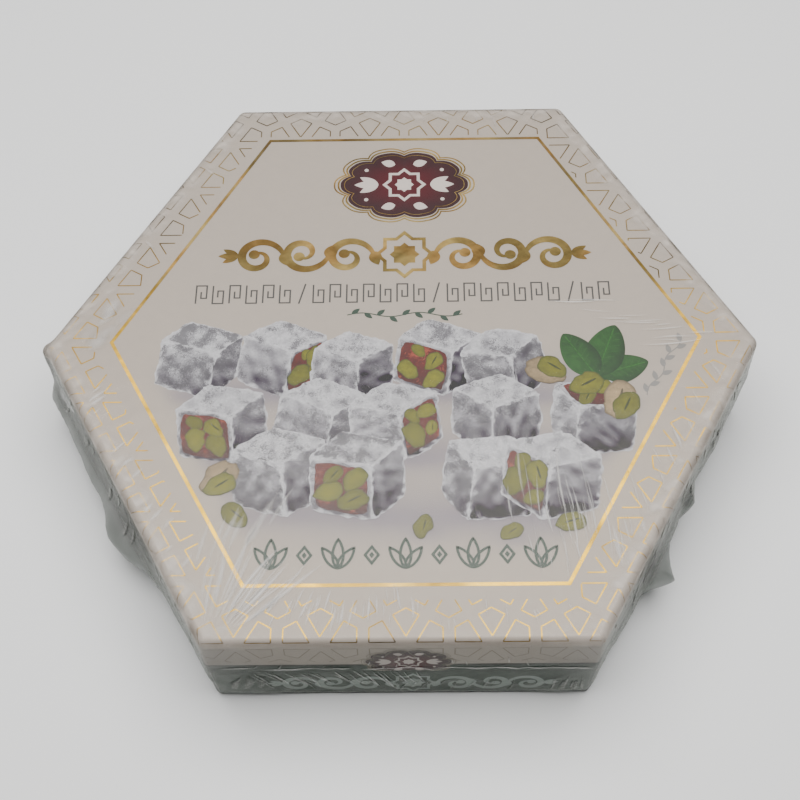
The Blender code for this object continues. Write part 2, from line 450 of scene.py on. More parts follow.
def foil_material(name, colour, warm, glint_gold, on_walls, gloss):
    """Hot-stamped gold foil: aluminium under a gold lacquer. The lacquer drifts between yellow and orange
    over about 12 mm. How much it mirrors drifts between the two values of gloss in patches of 20 mm; the
    brightest patches are partly a painted glint. Towards the front and its two corners the lacquer turns to
    the glint gold and the patches are lifted: a painted glint, set by place on the lid. It is darker on the
    fold and pale below it; the board under it is slightly wavy."""
    made, tree, output = new_material(name)
    place = add(tree, "ShaderNodeTexCoord").outputs["Object"]
    drift = add(tree, "ShaderNodeTexNoise", {"Vector": place, "Scale": 1.0 / (12.0 * MM), "Detail": 3.0})
    share = add(tree, "ShaderNodeMapRange", {"Value": drift.outputs["Fac"], "From Min": 0.42, "From Max": 0.6})
    shade = mix_colours(tree, share.outputs["Result"], opaque(colour), opaque(warm))
    patches = add(tree, "ShaderNodeTexNoise", {"Vector": place, "Scale": 1.0 / (20.0 * MM), "Detail": 4.0,
                                               "Distortion": 0.5})
    axes = add(tree, "ShaderNodeSeparateXYZ", {"Vector": place})
    # Painted glint towards the front and its two corners: 1.3 |x| - y from 50 to 140 mm mixes in the glint gold and
    # lifts the patches.
    aside = add(tree, "ShaderNodeMath", {0: axes.outputs["X"]}, operation="ABSOLUTE")
    forward = add(tree, "ShaderNodeMath", {0: aside.outputs[0], 1: 1.3}, operation="MULTIPLY")
    forward = add(tree, "ShaderNodeMath", {0: forward.outputs[0], 1: axes.outputs["Y"]}, operation="SUBTRACT")
    painted_glint = add(tree, "ShaderNodeMapRange", {"Value": forward.outputs[0], "From Min": 50.0 * MM,
                                             "From Max": 140.0 * MM})
    shade = mix_colours(tree, painted_glint.outputs["Result"], shade, opaque(glint_gold))
    patches = add(tree, "ShaderNodeMath", {0: painted_glint.outputs["Result"], 1: 0.15, 2: patches.outputs["Fac"]},
                  operation="MULTIPLY_ADD")
    glint = add(tree, "ShaderNodeMapRange", {"Value": patches.outputs[0], "From Min": 0.4,
                                             "From Max": 0.7, "To Min": gloss[0], "To Max": gloss[1]})
    level = axes.outputs["Z"]
    # Darker on a band 1.3 mm either side of 1.7 mm below the face, round the fold.
    fold = add(tree, "ShaderNodeMath", {0: level, 1: (TOP - 1.7) * MM, 2: 1.3 * MM}, operation="COMPARE")
    fold_darkening = add(tree, "ShaderNodeMath", {0: fold.outputs[0], 1: -0.65, 2: 1.0}, operation="MULTIPLY_ADD")
    glint = add(tree, "ShaderNodeMath", {0: glint.outputs["Result"], 1: fold_darkening.outputs[0]},
                operation="MULTIPLY")
    shade = add(tree, "ShaderNodeVectorMath", {0: shade, "Scale": glint.outputs[0]},
                operation="SCALE").outputs["Vector"]
    below = add(tree, "ShaderNodeMath", {0: level, 1: (TOP - 3.0) * MM}, operation="LESS_THAN")
    shade = mix_colours(tree, below.outputs[0], shade, opaque(on_walls))
    metal = add(tree, "ShaderNodeMath", {0: below.outputs[0], 1: -0.7, 2: 0.9}, operation="MULTIPLY_ADD")
    fine = add(tree, "ShaderNodeTexNoise", {"Vector": place, "Scale": 1.0 / (0.8 * MM), "Detail": 3.0})
    rough = add(tree, "ShaderNodeMapRange", {"Value": fine.outputs["Fac"], "To Min": 0.3, "To Max": 0.46})
    waves = add(tree, "ShaderNodeTexNoise", {"Vector": place, "Scale": 1.0 / (5.0 * MM), "Detail": 2.0})
    bump = add(tree, "ShaderNodeBump", {"Height": waves.outputs["Fac"], "Distance": 0.15 * MM})
    shader = add(tree, "ShaderNodeBsdfPrincipled",
                 {"Base Color": shade, "Metallic": metal.outputs[0], "Roughness": rough.outputs["Result"],
                  "Specular IOR Level": 0.0, "Normal": bump.outputs["Normal"]})
    tree.links.new(shader.outputs["BSDF"], output.inputs["Surface"])
    return made


def film_material(name, attribute, milk_colour, mirror_ior, haze_most):
    """Blown polyolefin shrink film: clear, mirrors on both faces like a thin pane, and milky where the
    attribute says: where it is creased, and where a painted sheen or painted highlight stands in for
    reflections of the lamps; its sheen is warmer on the face than on the walls. milk_colour is a colour or
    the name of an attribute."""
    made, tree, output = new_material(name)
    place = add(tree, "ShaderNodeTexCoord").outputs["Object"]
    crease_and_sheen = add(tree, "ShaderNodeAttribute", attribute_name=attribute).outputs["Fac"]
    if isinstance(milk_colour, str):
        tint = add(tree, "ShaderNodeAttribute", attribute_name=milk_colour).outputs["Color"]
    else:
        tint = opaque(milk_colour)
    fine = add(tree, "ShaderNodeTexNoise", {"Vector": place, "Scale": 1.0 / (2.5 * MM), "Detail": 4.0})
    bump = add(tree, "ShaderNodeBump", {"Height": fine.outputs["Fac"], "Strength": 0.15,
                                        "Distance": 0.3 * MM})
    clear = add(tree, "ShaderNodeBsdfTransparent", {"Color": opaque((0.98, 0.98, 0.98))})
    level = add(tree, "ShaderNodeSeparateXYZ", {"Vector": place}).outputs["Z"]
    below = add(tree, "ShaderNodeMath", {0: level, 1: (TOP - FOLD_RADIUS) * MM}, operation="LESS_THAN")
    sheen = mix_colours(tree, below.outputs[0], opaque((0.7, 0.64, 0.55)), opaque((0.58, 0.6, 0.56)))
    gloss = add(tree, "ShaderNodeBsdfAnisotropic", {"Color": sheen, "Roughness": 0.16,
                                                    "Normal": bump.outputs["Normal"]})
    milk = add(tree, "ShaderNodeBsdfPrincipled", {"Base Color": tint, "Roughness": 0.32})
    mirror = add(tree, "ShaderNodeFresnel", {"IOR": mirror_ior, "Normal": bump.outputs["Normal"]})
    pane = add(tree, "ShaderNodeMixShader", {0: mirror.outputs[0], 1: clear.outputs[0], 2: gloss.outputs[0]})
    haze = add(tree, "ShaderNodeMapRange", {"Value": crease_and_sheen, "To Max": haze_most})
    film = add(tree, "ShaderNodeMixShader", {0: haze.outputs["Result"], 1: pane.outputs[0],
                                             2: milk.outputs["BSDF"]})
    tree.links.new(film.outputs[0], output.inputs["Surface"])
    return made


def floor_material(name, colour):
    """Matt white background board."""
    made, tree, output = new_material(name)
    shader = add(tree, "ShaderNodeBsdfPrincipled", {"Base Color": opaque(colour), "Roughness": 0.9,
                                                    "Specular IOR Level": 0.1})
    tree.links.new(shader.outputs["BSDF"], output.inputs["Surface"])
    return made


# ------------------------------------------------------------------ settings

def length(name, description, millimetres, **more):
    return bpy.props.FloatProperty(name=name, description=description, default=millimetres * MM, min=0.0,
                                   precision=5, unit="LENGTH", **more)


def colour(name, description, code):
    return bpy.props.FloatVectorProperty(name=name, description=description, subtype="COLOR", size=3,
                                         min=0.0, max=1.0, default=linear(code))


class CartonBoard(bpy.types.PropertyGroup):
    """Board of the lid and the base."""
    white: colour("White board", "Coated face of the lid", "#B0A69B")
    green: colour("Green board", "Printed face of the base and of the stripe on the lid", "#20352C")
    stripe: length("Green stripe", "Height of the green stripe along the lid's foot", 4.0)


class CartonFoil(bpy.types.PropertyGroup):
    """Hot-stamped gold."""
    gold: colour("Gold", "Lacquer of the foil", "#C4AA6A")
    warm: colour("Warm gold", "Where the lacquer drifts to orange", "#C09A5C")
    # Painted glint colour, mixed into the foil towards the front and its two corners.
    glint_gold: colour("Rich gold", "Where the foil is pressed smooth, at the front corners", "#EEBD27")
    pale: colour("Pale gold", "Foil on the walls", "#978E80")
    star_spacing: length("Star spacing", "Distance between two neighbouring stars of the lattice", 23.53)
    strap: length("Strap", "Width of the straps between the kites", 3.3)
    line: length("Lattice line", "Width of the foil lines round the kites", 0.36)
    band: length("Lattice band", "How far the lattice reaches in from the lid's edge", 12.6)
    drop: length("Lattice drop", "How far the lattice runs down the lid's walls, unfolded", 12.0)
    frame_half_width: length("Frame half width", "Centre to a side corner of the gold frame", 90.9)
    frame_half_depth: length("Frame half depth", "Centre to the front side of the gold frame", 83.2)
    frame_line: length("Frame line", "Width of the gold frame", 1.08)


class CartonOrnament(bpy.types.PropertyGroup):
    """Medallion, scrolls and small ornaments."""
    burgundy: colour("Burgundy", "Rim of the medallion's field", "#311519")
    ruby: colour("Ruby", "Middle of the medallion's field", "#4E0C17")
    cream: colour("Cream", "Star and leaves on the medallion", "#C9BFB8")
    grey: colour("Grey", "Fret", "#454341")
    twig: colour("Light grey", "Twig", "#85827E")
    leaf: colour("Leaf green", "Sprig and tulip row", "#2F4336")
    pale: colour("Pale green", "Scroll on the base", "#929D96")


class CartonPicture(bpy.types.PropertyGroup):
    """Printed picture of the sweets."""
    sugar: colour("Sugar", "Dusted faces in the light", "#C0BFC2")
    sugar_shade: colour("Sugar in shade", "Dusted faces turned away", "#615C64")
    jelly: colour("Jelly", "Cut faces", "#54140B")
    nut: colour("Nut", "Cut pistachio", "#6E6C04")
    nut_rim: colour("Nut rim", "Skin of the pistachio", "#3C4412")
    shell: colour("Shell", "Shell of the loose pistachios", "#A08A66")
    leaf: colour("Leaf", "Pistachio leaf", "#1C4C13")
    shadow: colour("Shadow", "Soft shade under the sweets", "#847E88")
    seed: bpy.props.IntProperty(name="Seed", description="Another arrangement of the sweets", default=11)


class CartonFilm(bpy.types.PropertyGroup):
    """Clear shrink film."""
    clearance: length("Clearance", "Air between the lid and the film's taut parts", 0.32)
    crinkle: length("Crinkle", "How far the loose film on the walls buckles", 0.5)
    pleat_height: length("Pleat height", "Height of the raised tension pleats", 0.1)
    veil: colour("Veil", "Milky film on the face and round the fold", "#DAD0C5")
    haze: colour("Haze", "Milky film high on the walls", "#878482")
    haze_low: colour("Low haze", "Milky film low on the walls", "#7A807A")
    # Partly the whitening of stretched film, partly painted highlight streaks on the pleats.
    pleat_whitening_and_glint: colour("Pleat", "Stretched, whitened film of the pleats", "#EDEAE6")


class CartonStage(bpy.types.PropertyGroup):
    """Floor, lamps and camera."""
    floor: colour("Floor", "Background board", "#F4F4F3")
    key_power: bpy.props.FloatProperty(name="Key", description="Power of the overhead softbox in watts",
                                       default=12.0, min=0.0)
    fill_power: bpy.props.FloatProperty(name="Fill", description="Power of the front fill in watts",
                                        default=0.95, min=0.0)
    lens: bpy.props.FloatProperty(name="Lens", description="Focal length in millimetres on a 36 mm sensor",
                                  default=64.85, min=10.0)


# ------------------------------------------------------------------ board

def fold_rows(steps, radius, top):
    """Insets and heights over a quarter fold: inset = r (1 - sin a), height = top - r (1 - cos a)."""
    angle = np.linspace(0.0, math.pi / 2.0, steps)
    return radius * (1.0 - np.sin(angle)), top - radius * (1.0 - np.cos(angle))


def ring_at(inset, radius, height, per_wall, per_corner):
    flat, _ = rounded_ring(inset, radius, per_wall, per_corner)
    return np.column_stack((flat, np.broadcast_to(height, len(flat))))


def flat_rows(ring, shares):
    """Copies of a ring drawn in towards its own middle, at the same height."""
    middle = np.append(ring[:, :2].mean(axis=0), 0.0)
    shares = np.asarray(shares)[:, None, None]
    flat = middle + (ring - middle) * shares
    flat[..., 2] = ring[:, 2]
    return list(flat)


def make_lid(board):
    """Cap of folded board: flat face, quarter fold, straight walls, a thin foot, and the inner walls."""
    per_wall, per_corner, lip = 24, 7, 0.3
    insets, heights = fold_rows(11, FOLD_RADIUS, TOP)
    rows = [ring_at(inset, max(CORNER_RADIUS - inset, 0.12), height, per_wall, per_corner)
            for inset, height in zip(insets, heights)]
    rings = flat_rows(rows[0], (0.1, 0.5, 0.98)) + rows
    walls = ((0.0, LID_FOOT + lip), (0.35 * lip, LID_FOOT + 0.1 * lip), (lip, LID_FOOT),
             (LID_BOARD - lip, LID_FOOT), (LID_BOARD, LID_FOOT + lip), (LID_BOARD, TOP - LID_BOARD))
    rings += [ring_at(inset, CORNER_RADIUS, height, per_wall, per_corner) for inset, height in walls]
    rings += flat_rows(rings[-1], (0.98, 0.1))
    stripe = LID_FOOT + board.stripe / MM
    stripes = (stripe + 1.0, tuple(0.15 * part for part in board.green)), (stripe, tuple(board.green))
    finish = board_material("clay-coated white boxboard", tuple(board.white), stripes)
    return add_piece(ring_shell("lid_board", rings), finish, replaced=("lid",))


def make_base(board):
    """Shut base: block with soft folds, up to just under the lid's face."""
    per_wall, per_corner, fold = 24, 7, 0.8
    low, high = BASE_LOW[2], BASE_HIGH[2]
    insets, heights = fold_rows(5, fold, high)
    rings = [ring_at(BASE_INSET + inset, max(CORNER_RADIUS - inset, 0.12), height, per_wall, per_corner)
             for inset, height in zip(insets, heights)]
    rings = flat_rows(rings[0], (0.1, 0.98)) + rings
    rings += [ring_at(BASE_INSET + inset, max(CORNER_RADIUS - inset, 0.12), low + high - height,
                      per_wall, per_corner) for inset, height in zip(insets[::-1], heights[::-1])]
    rings += flat_rows(rings[-1], (0.98, 0.1))
    finish = board_material("green-printed boxboard", tuple(board.green))
    return add_piece(ring_shell("base_board", rings), finish, replaced=("base",))


# ------------------------------------------------------------------ gold foil

def kite_edges(spacing, inset, cells):
    """Edges (n, 2, 2) of the kites of a deltoidal trihexagonal tiling, each kite drawn in by inset.

    Stars stand on a triangular grid, a apart. Round each, six kites point outwards at 30 + 60 k
    degrees: tip at 2 d u(t), side corners at (a / 2 - d) u(t +- 30) + d u(t -+ 60), far corner at
    (a / sqrt 3 - d / sin 60) u(t).
    """
    def unit(degrees):
        return np.stack((np.cos(np.radians(degrees)), np.sin(np.radians(degrees))), axis=-1)

    row, column = np.meshgrid(np.arange(-cells, cells + 1), np.arange(-cells, cells + 1))
    stars = np.stack(((column + 0.5 * ((row + 1) % 2)) * spacing, row * spacing * math.sin(math.pi / 3.0)),
                     axis=-1).reshape(-1, 1, 1, 2)
    t = 30.0 + 60.0 * np.arange(6)
    side = spacing / 2.0 - inset
    kite = np.stack((2.0 * inset * unit(t),
                     side * unit(t + 30.0) + inset * unit(t - 60.0),
                     (spacing / math.sqrt(3.0) - inset / math.sin(math.pi / 3.0)) * unit(t),
                     side * unit(t - 30.0) + inset * unit(t + 60.0)), axis=1)
    outlines = (stars + kite[None]).reshape(-1, 4, 2)
    return np.stack((outlines, np.roll(outlines, -1, axis=1)), axis=2).reshape(-1, 2, 2)


def clipped(edges, normals, limits):
    """Parts of edges (n, 2, 2) inside the convex region normals . p <= limits."""
    start, run = edges[:, 0], edges[:, 1] - edges[:, 0]
    room = limits - start @ normals.T
    rate = run @ normals.T
    with np.errstate(divide="ignore", invalid="ignore"):
        cut = room / rate
    first = np.where(rate < -1e-9, cut, 0.0).max(axis=1).clip(0.0, None)
    last = np.where(rate > 1e-9, cut, 1.0).min(axis=1).clip(None, 1.0)
    outside = ((np.abs(rate) <= 1e-9) & (room < 0.0)).any(axis=1)
    keep = (last - first > 0.02) & ~outside
    first, last = first[keep, None], last[keep, None]
    return np.stack((start[keep] + run[keep] * first, start[keep] + run[keep] * last), axis=1)


def wall_region(wall, band, drop):
    """Half planes round one wall's share of the border: its slice of the face, the fold and the wall."""
    ends = CORNERS[wall], CORNERS[(wall + 1) % WALLS]
    turn_left = np.array(((0.0, -1.0), (1.0, 0.0)))
    rays = [turn_left @ (end / np.linalg.norm(end)) for end in ends]
    along, out = ALONG[wall], OUTWARD[wall]
    normals = np.array((-out, out, -rays[0], rays[1], -along, along))
    limits = np.array((-(REACH[wall] - band), REACH[wall] + drop, 0.0, 0.0,
                       -(along @ ends[0]) - 0.5 * CORNER_RADIUS, along @ ends[1] - 0.5 * CORNER_RADIUS))
    return normals, limits


def draw_edges(drawing, edges, width, wall):
    """Straight bands along edges, cut into short steps where they pass the fold."""
    past = ((edges + PRINT_SHIFT) @ OUTWARD[wall]) - (REACH[wall] - FOLD_RADIUS)
    for edge, bent in zip(edges, past.max(axis=1) > 0.0):
        share = np.linspace(0.0, 1.0, 24 if bent else 2)[:, None]
        drawing.stroke(edge[0] + (edge[1] - edge[0]) * share, width, 0.03, wall=wall)


def make_foil_lattice(foil, finish):
    """Kite lattice over the border of the face, round the fold and down the six walls."""
    edges = kite_edges(foil.star_spacing / MM, foil.strap / (2.0 * MM), 7)
    drawing = Drawing()
    for wall in range(WALLS):
        normals, limits = wall_region(wall, foil.band / MM, foil.drop / MM)
        draw_edges(drawing, clipped(edges, normals, limits - normals @ PRINT_SHIFT), foil.line / MM, wall)
    return drawing.piece("foil_lattice", finish, "white_board", on_lid)


def make_foil_frame(foil, finish):
    """Hexagonal gold frame, mitred at its corners."""
    outline = hexagon_corners(foil.frame_half_width / MM, foil.frame_half_depth / MM)
    drawing = Drawing()
    drawing.stroke(outline, foil.frame_line / MM, 0.03, closed=True)
    return drawing.piece("foil_frame", finish, "white_board", on_lid)


def draw_scroll(drawing, centre, radius, start, way, lift, wall=0):
    """Scroll: r = R e^(-0.17 s) round a centre from angle start, thinning, with a bud at its end."""
    s = np.linspace(0.0, 2.0 * math.pi * 1.35, 64)
    reach = radius * np.exp(-0.17 * s)
    angle = start + way * s
    path = centre + np.stack((reach * np.cos(angle), reach * np.sin(angle)), axis=1)
    width = radius * (0.08 + 0.24 * np.sin(np.pi * np.linspace(0.0, 1.0, len(s)) ** 0.6))
    drawing.stroke(path, width, lift, wall=wall)
    drawing.field(path[-1] + oval_outline(0.21 * radius, 0.21 * radius), lift, wall=wall)


def draw_leaf(drawing, base, size, angle, lift, ink=None, wall=0, slim=0.32):
    """Pointed leaf that starts at base."""
    blade = oval_outline(0.5 * size, slim * size, pinch=1.7, taper=-0.25) + (0.5 * size, 0.0)
    drawing.field(np.asarray(base) + turned(blade, angle), lift, ink, wall)


def draw_tulip(drawing, base, size, angle, lift, ink=None, wall=0):
    """Three-petalled tulip."""
    for lean in (-0.5, 0.0, 0.5):
        draw_leaf(drawing, base, size * (1.0 - 0.25 * abs(lean)), angle + lean, lift, ink, wall, slim=0.2)


def draw_scroll_band(drawing, centre, scale, lift, wall=0):
    """Running scroll: a star between two mirrored rows of scrolls that curl up and down in turn."""
    centre = np.asarray(centre, float)
    star = star_outline(9.6 * scale)
    drawing.stroke(centre + star, 1.3 * scale, lift, closed=True, wall=wall)
    drawing.field(centre + star_outline(5.2 * scale), lift, wall=wall)
    for hand in (-1.0, 1.0):
        for index in range(3):
            up = 1.0 if index % 2 == 0 else -1.0
            middle = centre + scale * np.array((hand * (19.6 + 15.6 * index), -1.2 * up))
            start = math.pi if hand > 0.0 else 0.0
            draw_scroll(drawing, middle, 9.3 * scale, start, -hand * up, lift, wall)
            joint = centre + scale * np.array((hand * (11.4 + 15.6 * index), 1.0 * up))
            for lean, size in ((1.15, 6.0), (0.6, 4.6)):
                angle = up * lean if hand > 0.0 else math.pi - up * lean
                draw_leaf(drawing, joint, -size * scale, angle, lift, wall=wall)
        tip = centre + scale * np.array((hand * 57.5, 0.0))
        draw_tulip(drawing, tip, 7.0 * scale, 0.0 if hand > 0.0 else math.pi, lift, wall=wall)


def make_title_scroll(finish):
    drawing = Drawing(layer=0.002)
    draw_scroll_band(drawing, (0.0, 33.5), 0.93, 0.03)
    return drawing.piece("foil_title_scroll", finish, "white_board", on_lid)


# ------------------------------------------------------------------ ornaments in ink

def draw_medallion(ornament):
    """Lobed medallion: two foil lines, a field from ruby to burgundy, and a cream star with tulips.

    Gives three drawings, centred on the origin: foil lines, enamel field, cream star.
    """
    gold, field, cream = Drawing(), Drawing(), Drawing(tuple(ornament.cream), layer=0.002)
    ruby, burgundy = np.array(ornament.ruby), np.array(ornament.burgundy)

    def lobes(half_width, half_height):
        return lobed_outline(half_width, half_height, lobes=10, depth=0.12)

    def glow(points, share):
        return ruby + (burgundy - ruby) * smooth_step(share, 0.25, 1.0)[..., None]

    gold.stroke(lobes(23.2, 16.4), 0.5, 0.03, closed=True)
    gold.stroke(lobes(21.9, 15.2), 0.6, 0.03, closed=True)
    field.disc(lobes(21.2, 14.5), 8, 0.03, glow)
    gold.stroke(lobes(19.9, 13.3), 0.22, 0.05, closed=True)
    cream.stroke(star_outline(6.6), 1.0, 0.05, closed=True)
    cream.field(star_outline(3.2), 0.05)
    for hand, angle in ((1.0, 0.0), (-1.0, math.pi)):
        draw_tulip(cream, (hand * 8.6, 0.0), 8.0, angle, 0.05)
        for lean in (-1.0, 1.0):
            draw_leaf(cream, (hand * 3.0, lean * 8.8), 4.8, angle + hand * lean * 0.25, 0.05)
            cream.field(oval_outline(0.7, 0.7, count=16) + (hand * 12.6, lean * 6.4), 0.05)
    return gold, field, cream


def make_medallions(ornament, foil_finish):
    """Large medallion on the lid's face and its smaller copies on the front and back walls."""
    pattern = draw_medallion(ornament)
    names = "medallion_lines", "medallion_field", "medallion_star"
    finishes = (foil_finish, ink_material("offset ink, burgundy", 1.2, 0.06),
                ink_material("offset ink, cream", 1.0, 0.03))
    for name, part, finish in zip(names, pattern, finishes):
        whole = Drawing()
        whole.merge(part, np.eye(2), np.array((0.0, 63.0)), 0)
        for wall in (FRONT_WALL, (FRONT_WALL + 3) % WALLS):
            middle = CORNERS[wall] + 0.5 * WALL_RUNS[wall] + 1.9 * ALONG[wall] + OUTWARD[wall] * 12.4
            whole.merge(part, 0.57 * np.stack((ALONG[wall], -OUTWARD[wall])), middle - PRINT_SHIFT, wall)
        whole.piece(name, finish, "white_board", on_lid)


def make_small_ornaments(ornament):
    """Grey fret, green sprig, green tulip row and grey twig, each where a line of print stands."""
    drawing = Drawing(layer=0.0008)
    grey, green = np.array(ornament.grey), np.array(ornament.leaf)
    draw_fret(drawing, -66.0, 71.0, 14.6, 21.6, 0.5, grey)
    draw_vine(drawing, np.array((0.0, 9.6)), 36.0, 1.5, 0.0, green)
    draw_vine(drawing, np.array((79.0, -10.5)), 25.0, 1.6, math.radians(60.0), tuple(ornament.twig))
    draw_tulip_row(drawing, 82.0, -78.0, 9.0, green)
    finish = ink_material("offset ink, ornaments", 1.0, 0.04)
    return drawing.piece("printed_ornaments", finish, "white_board", on_lid)


def draw_fret(drawing, left, right, low, high, width, ink):
    """Hooked key fret: one unit of seven corners repeated from left to right, a slanted bar every sixth."""
    tall = high - low
    unit = np.array(((0.0, 0.0), (0.0, 1.0), (0.72, 1.0), (0.72, 0.3), (0.34, 0.3), (0.34, 0.66))) * (4.6, tall)
    step = 5.3
    for index in range(int((right - left) / step)):
        corner = np.array((left + index * step, low))
        if index % 8 == 6:
            bar = np.array(((0.8, -0.06 * tall), (2.8, 1.06 * tall)))
            drawing.stroke(corner + bar, width, 0.03, ink)
        elif index % 2 == 0:
            drawing.stroke(corner + unit, width, 0.03, ink)
        else:
            flipped = unit * (1.0, -1.0) + (0.0, tall)
            drawing.stroke(corner + flipped, width, 0.03, ink)


def draw_vine(drawing, middle, span, swing, angle, ink):
    """Sprig: a sine-wave stem with leaves along it, alternately left and right."""
    x = np.linspace(-0.5 * span, 0.5 * span, 60)
    wave = 4.0 * math.pi / span
    stem = np.stack((x, swing * 0.5 * np.sin(wave * x)), axis=1)
    drawing.stroke(middle + turned(stem, angle), 0.35, 0.03, ink)
    for index, at in enumerate(np.linspace(-0.46 * span, 0.42 * span, 9)):
        lean = 0.7 if index % 2 == 0 else -0.7
        base = middle + turned(np.array((at, swing * 0.5 * math.sin(wave * at))), angle)
        draw_leaf(drawing, base, 3.2 * swing / 1.5, angle + lean, 0.03, ink, slim=0.24)


def draw_tulip_row(drawing, span, low, tall, ink):
    """Row of outlined tulips and diamonds, symmetrical about the middle."""
    count = 9
    for index in range(count):
        x = (index - (count - 1) / 2.0) * span / (count - 0.4)
        if index % 2 == 0:
            for lean in (-0.62, 0.62, 0.0):
                size = tall * (1.0 if lean == 0.0 else 0.86)
                blade = oval_outline(0.5 * size, 0.17 * size, pinch=1.6, taper=-0.2) + (0.5 * size, 0.0)
                petal = np.array((x, low)) + turned(blade, math.pi / 2.0 + lean)
                drawing.stroke(petal, 0.8, 0.03, ink, closed=True)
        else:
            diamond = np.array(((-1.9, 0.0), (0.0, -2.6), (1.9, 0.0), (0.0, 2.6))) + (x, low + 0.45 * tall)
            drawing.stroke(diamond, 0.8, 0.03, ink, closed=True)
            drawing.field((diamond - diamond.mean(axis=0)) * 0.4 + diamond.mean(axis=0), 0.03, ink)


def make_base_scrolls(ornament):
    """Pale running scroll on the base's front and back walls."""
    drawing = Drawing(tuple(ornament.pale), layer=0.002)
    for wall in (FRONT_WALL, (FRONT_WALL + 3) % WALLS):
        draw_scroll_band(drawing, (3.0, 7.8), 0.66, 0.03, wall)
    finish = ink_material("offset ink, pale green", 1.0, 0.05)
    return drawing.piece("base_scrolls", finish, "green_board", on_base)


# ------------------------------------------------------------------ picture of the sweets

def soft_outline(corners, cut, seed, wobble):
    """Polygon with its corners cut off again and again, p (1 - c) + q c, then moved by two ripples."""
    outline = np.asarray(corners, float)
    for share in (cut, 0.25, 0.25):
        following = np.roll(outline, -1, axis=0)
        outline = np.stack((outline * (1.0 - share) + following * share,
                            outline * share + following * (1.0 - share)), axis=1).reshape(-1, 2)
    following = np.roll(outline, -1, axis=0)
    outline = np.stack((outline, 0.5 * (outline + following)), axis=1).reshape(-1, 2)
    moved = np.stack([0.6 * ripple(outline, 7.0, seed + axis) + 0.4 * ripple(outline, 2.0, seed + 9 + axis)
                      for axis in (0, 1)], axis=1)
    return outline + wobble * moved


def cube_faces(foot, size, yaw, roll):
    """Outline and the three visible faces of a cube seen from above at about 60 degrees.

    Its edges run (cos, 0.45 sin) and (-sin, 0.45 cos) of the yaw away from the foot, the corner
    nearest the eye, and 0.88 of the size upwards; then the whole is rolled about the foot.
    """
    right = size * np.array((math.sin(yaw), 0.45 * math.cos(yaw)))
    left = size * np.array((-math.cos(yaw), 0.45 * math.sin(yaw)))
    up = size * np.array((0.0, 0.88))
    nothing = np.zeros(2)

    def placed(*corners):
        return np.asarray(foot) + turned(np.array(corners), roll)

    outline = placed(nothing, right, right + up, right + left + up, left + up, left)
    faces = {
        "right": placed(nothing, right, right + up, up),
        "left": placed(left, nothing, up, left + up),
        "top": placed(up, right + up, right + left + up, left + up),
    }
    return outline, faces


def draw_nut(drawing, centre, half_length, angle, lift, colours, seed=0):
    """Cut pistachio: an uneven oval, dark at its rim and paler at its heart; every third has a split."""
    nut, rim = colours

    def heart(points, share):
        return nut + (rim - nut) * (0.25 * smooth_step(share, 0.2, 0.75) + 0.75 * smooth_step(share, 0.82, 1.0))[..., None]

    nut = nut * np.random.default_rng(seed).uniform(0.8, 1.25)
    oval = oval_outline(half_length, 0.68 * half_length, angle, taper=0.2)
    wobble = np.stack((ripple(oval, 3.6, seed), ripple(oval, 3.6, seed + 1)), axis=1) * 0.07 * half_length
    drawing.disc(np.asarray(centre) + oval + wobble, 7, lift, heart)
    if seed % 3 == 0:
        split = oval_outline(0.5 * half_length, 0.07 * half_length, angle + 0.12, count=12)
        drawing.field(np.asarray(centre) + split + 0.1 * half_length, lift + 0.0005, 0.7 * rim)


def draw_jelly(jelly, nuts, face, lift, draw, picture):
    """Cut face of a cube: a glassy field, darker low down, with chopped pistachios in it."""
    middle = face.mean(axis=0)
    inner = soft_outline(middle + (face - middle) * 0.86, 0.12, int(draw.integers(1000)), 0.4)
    low, high = inner[:, 1].min(), inner[:, 1].max()
    base = np.array(picture.jelly)
    colours = np.array(picture.nut), np.array(picture.nut_rim)

    def depth(points, share):
        rise = (points[..., 1] - low) / (high - low)
        return base * (0.55 + 0.7 * rise + 0.35 * (1.0 - share))[..., None]

    jelly.disc(inner, 8, lift, depth)
    across, rise = face[1] - face[0], face[3] - face[0]
    room = min(np.linalg.norm(across), np.linalg.norm(rise))
    for u, v, share in ((0.3, 0.36, 0.29), (0.72, 0.32, 0.22), (0.38, 0.76, 0.2), (0.7, 0.7, 0.27)):
        lift += 0.001
        spot = face[0] + across * (u + draw.uniform(-0.05, 0.05)) + rise * (v + draw.uniform(-0.05, 0.05))
        draw_nut(nuts, spot, room * share * draw.uniform(0.8, 1.2), draw.uniform(0.3, 2.6), lift, colours,
                 int(draw.integers(1000)))


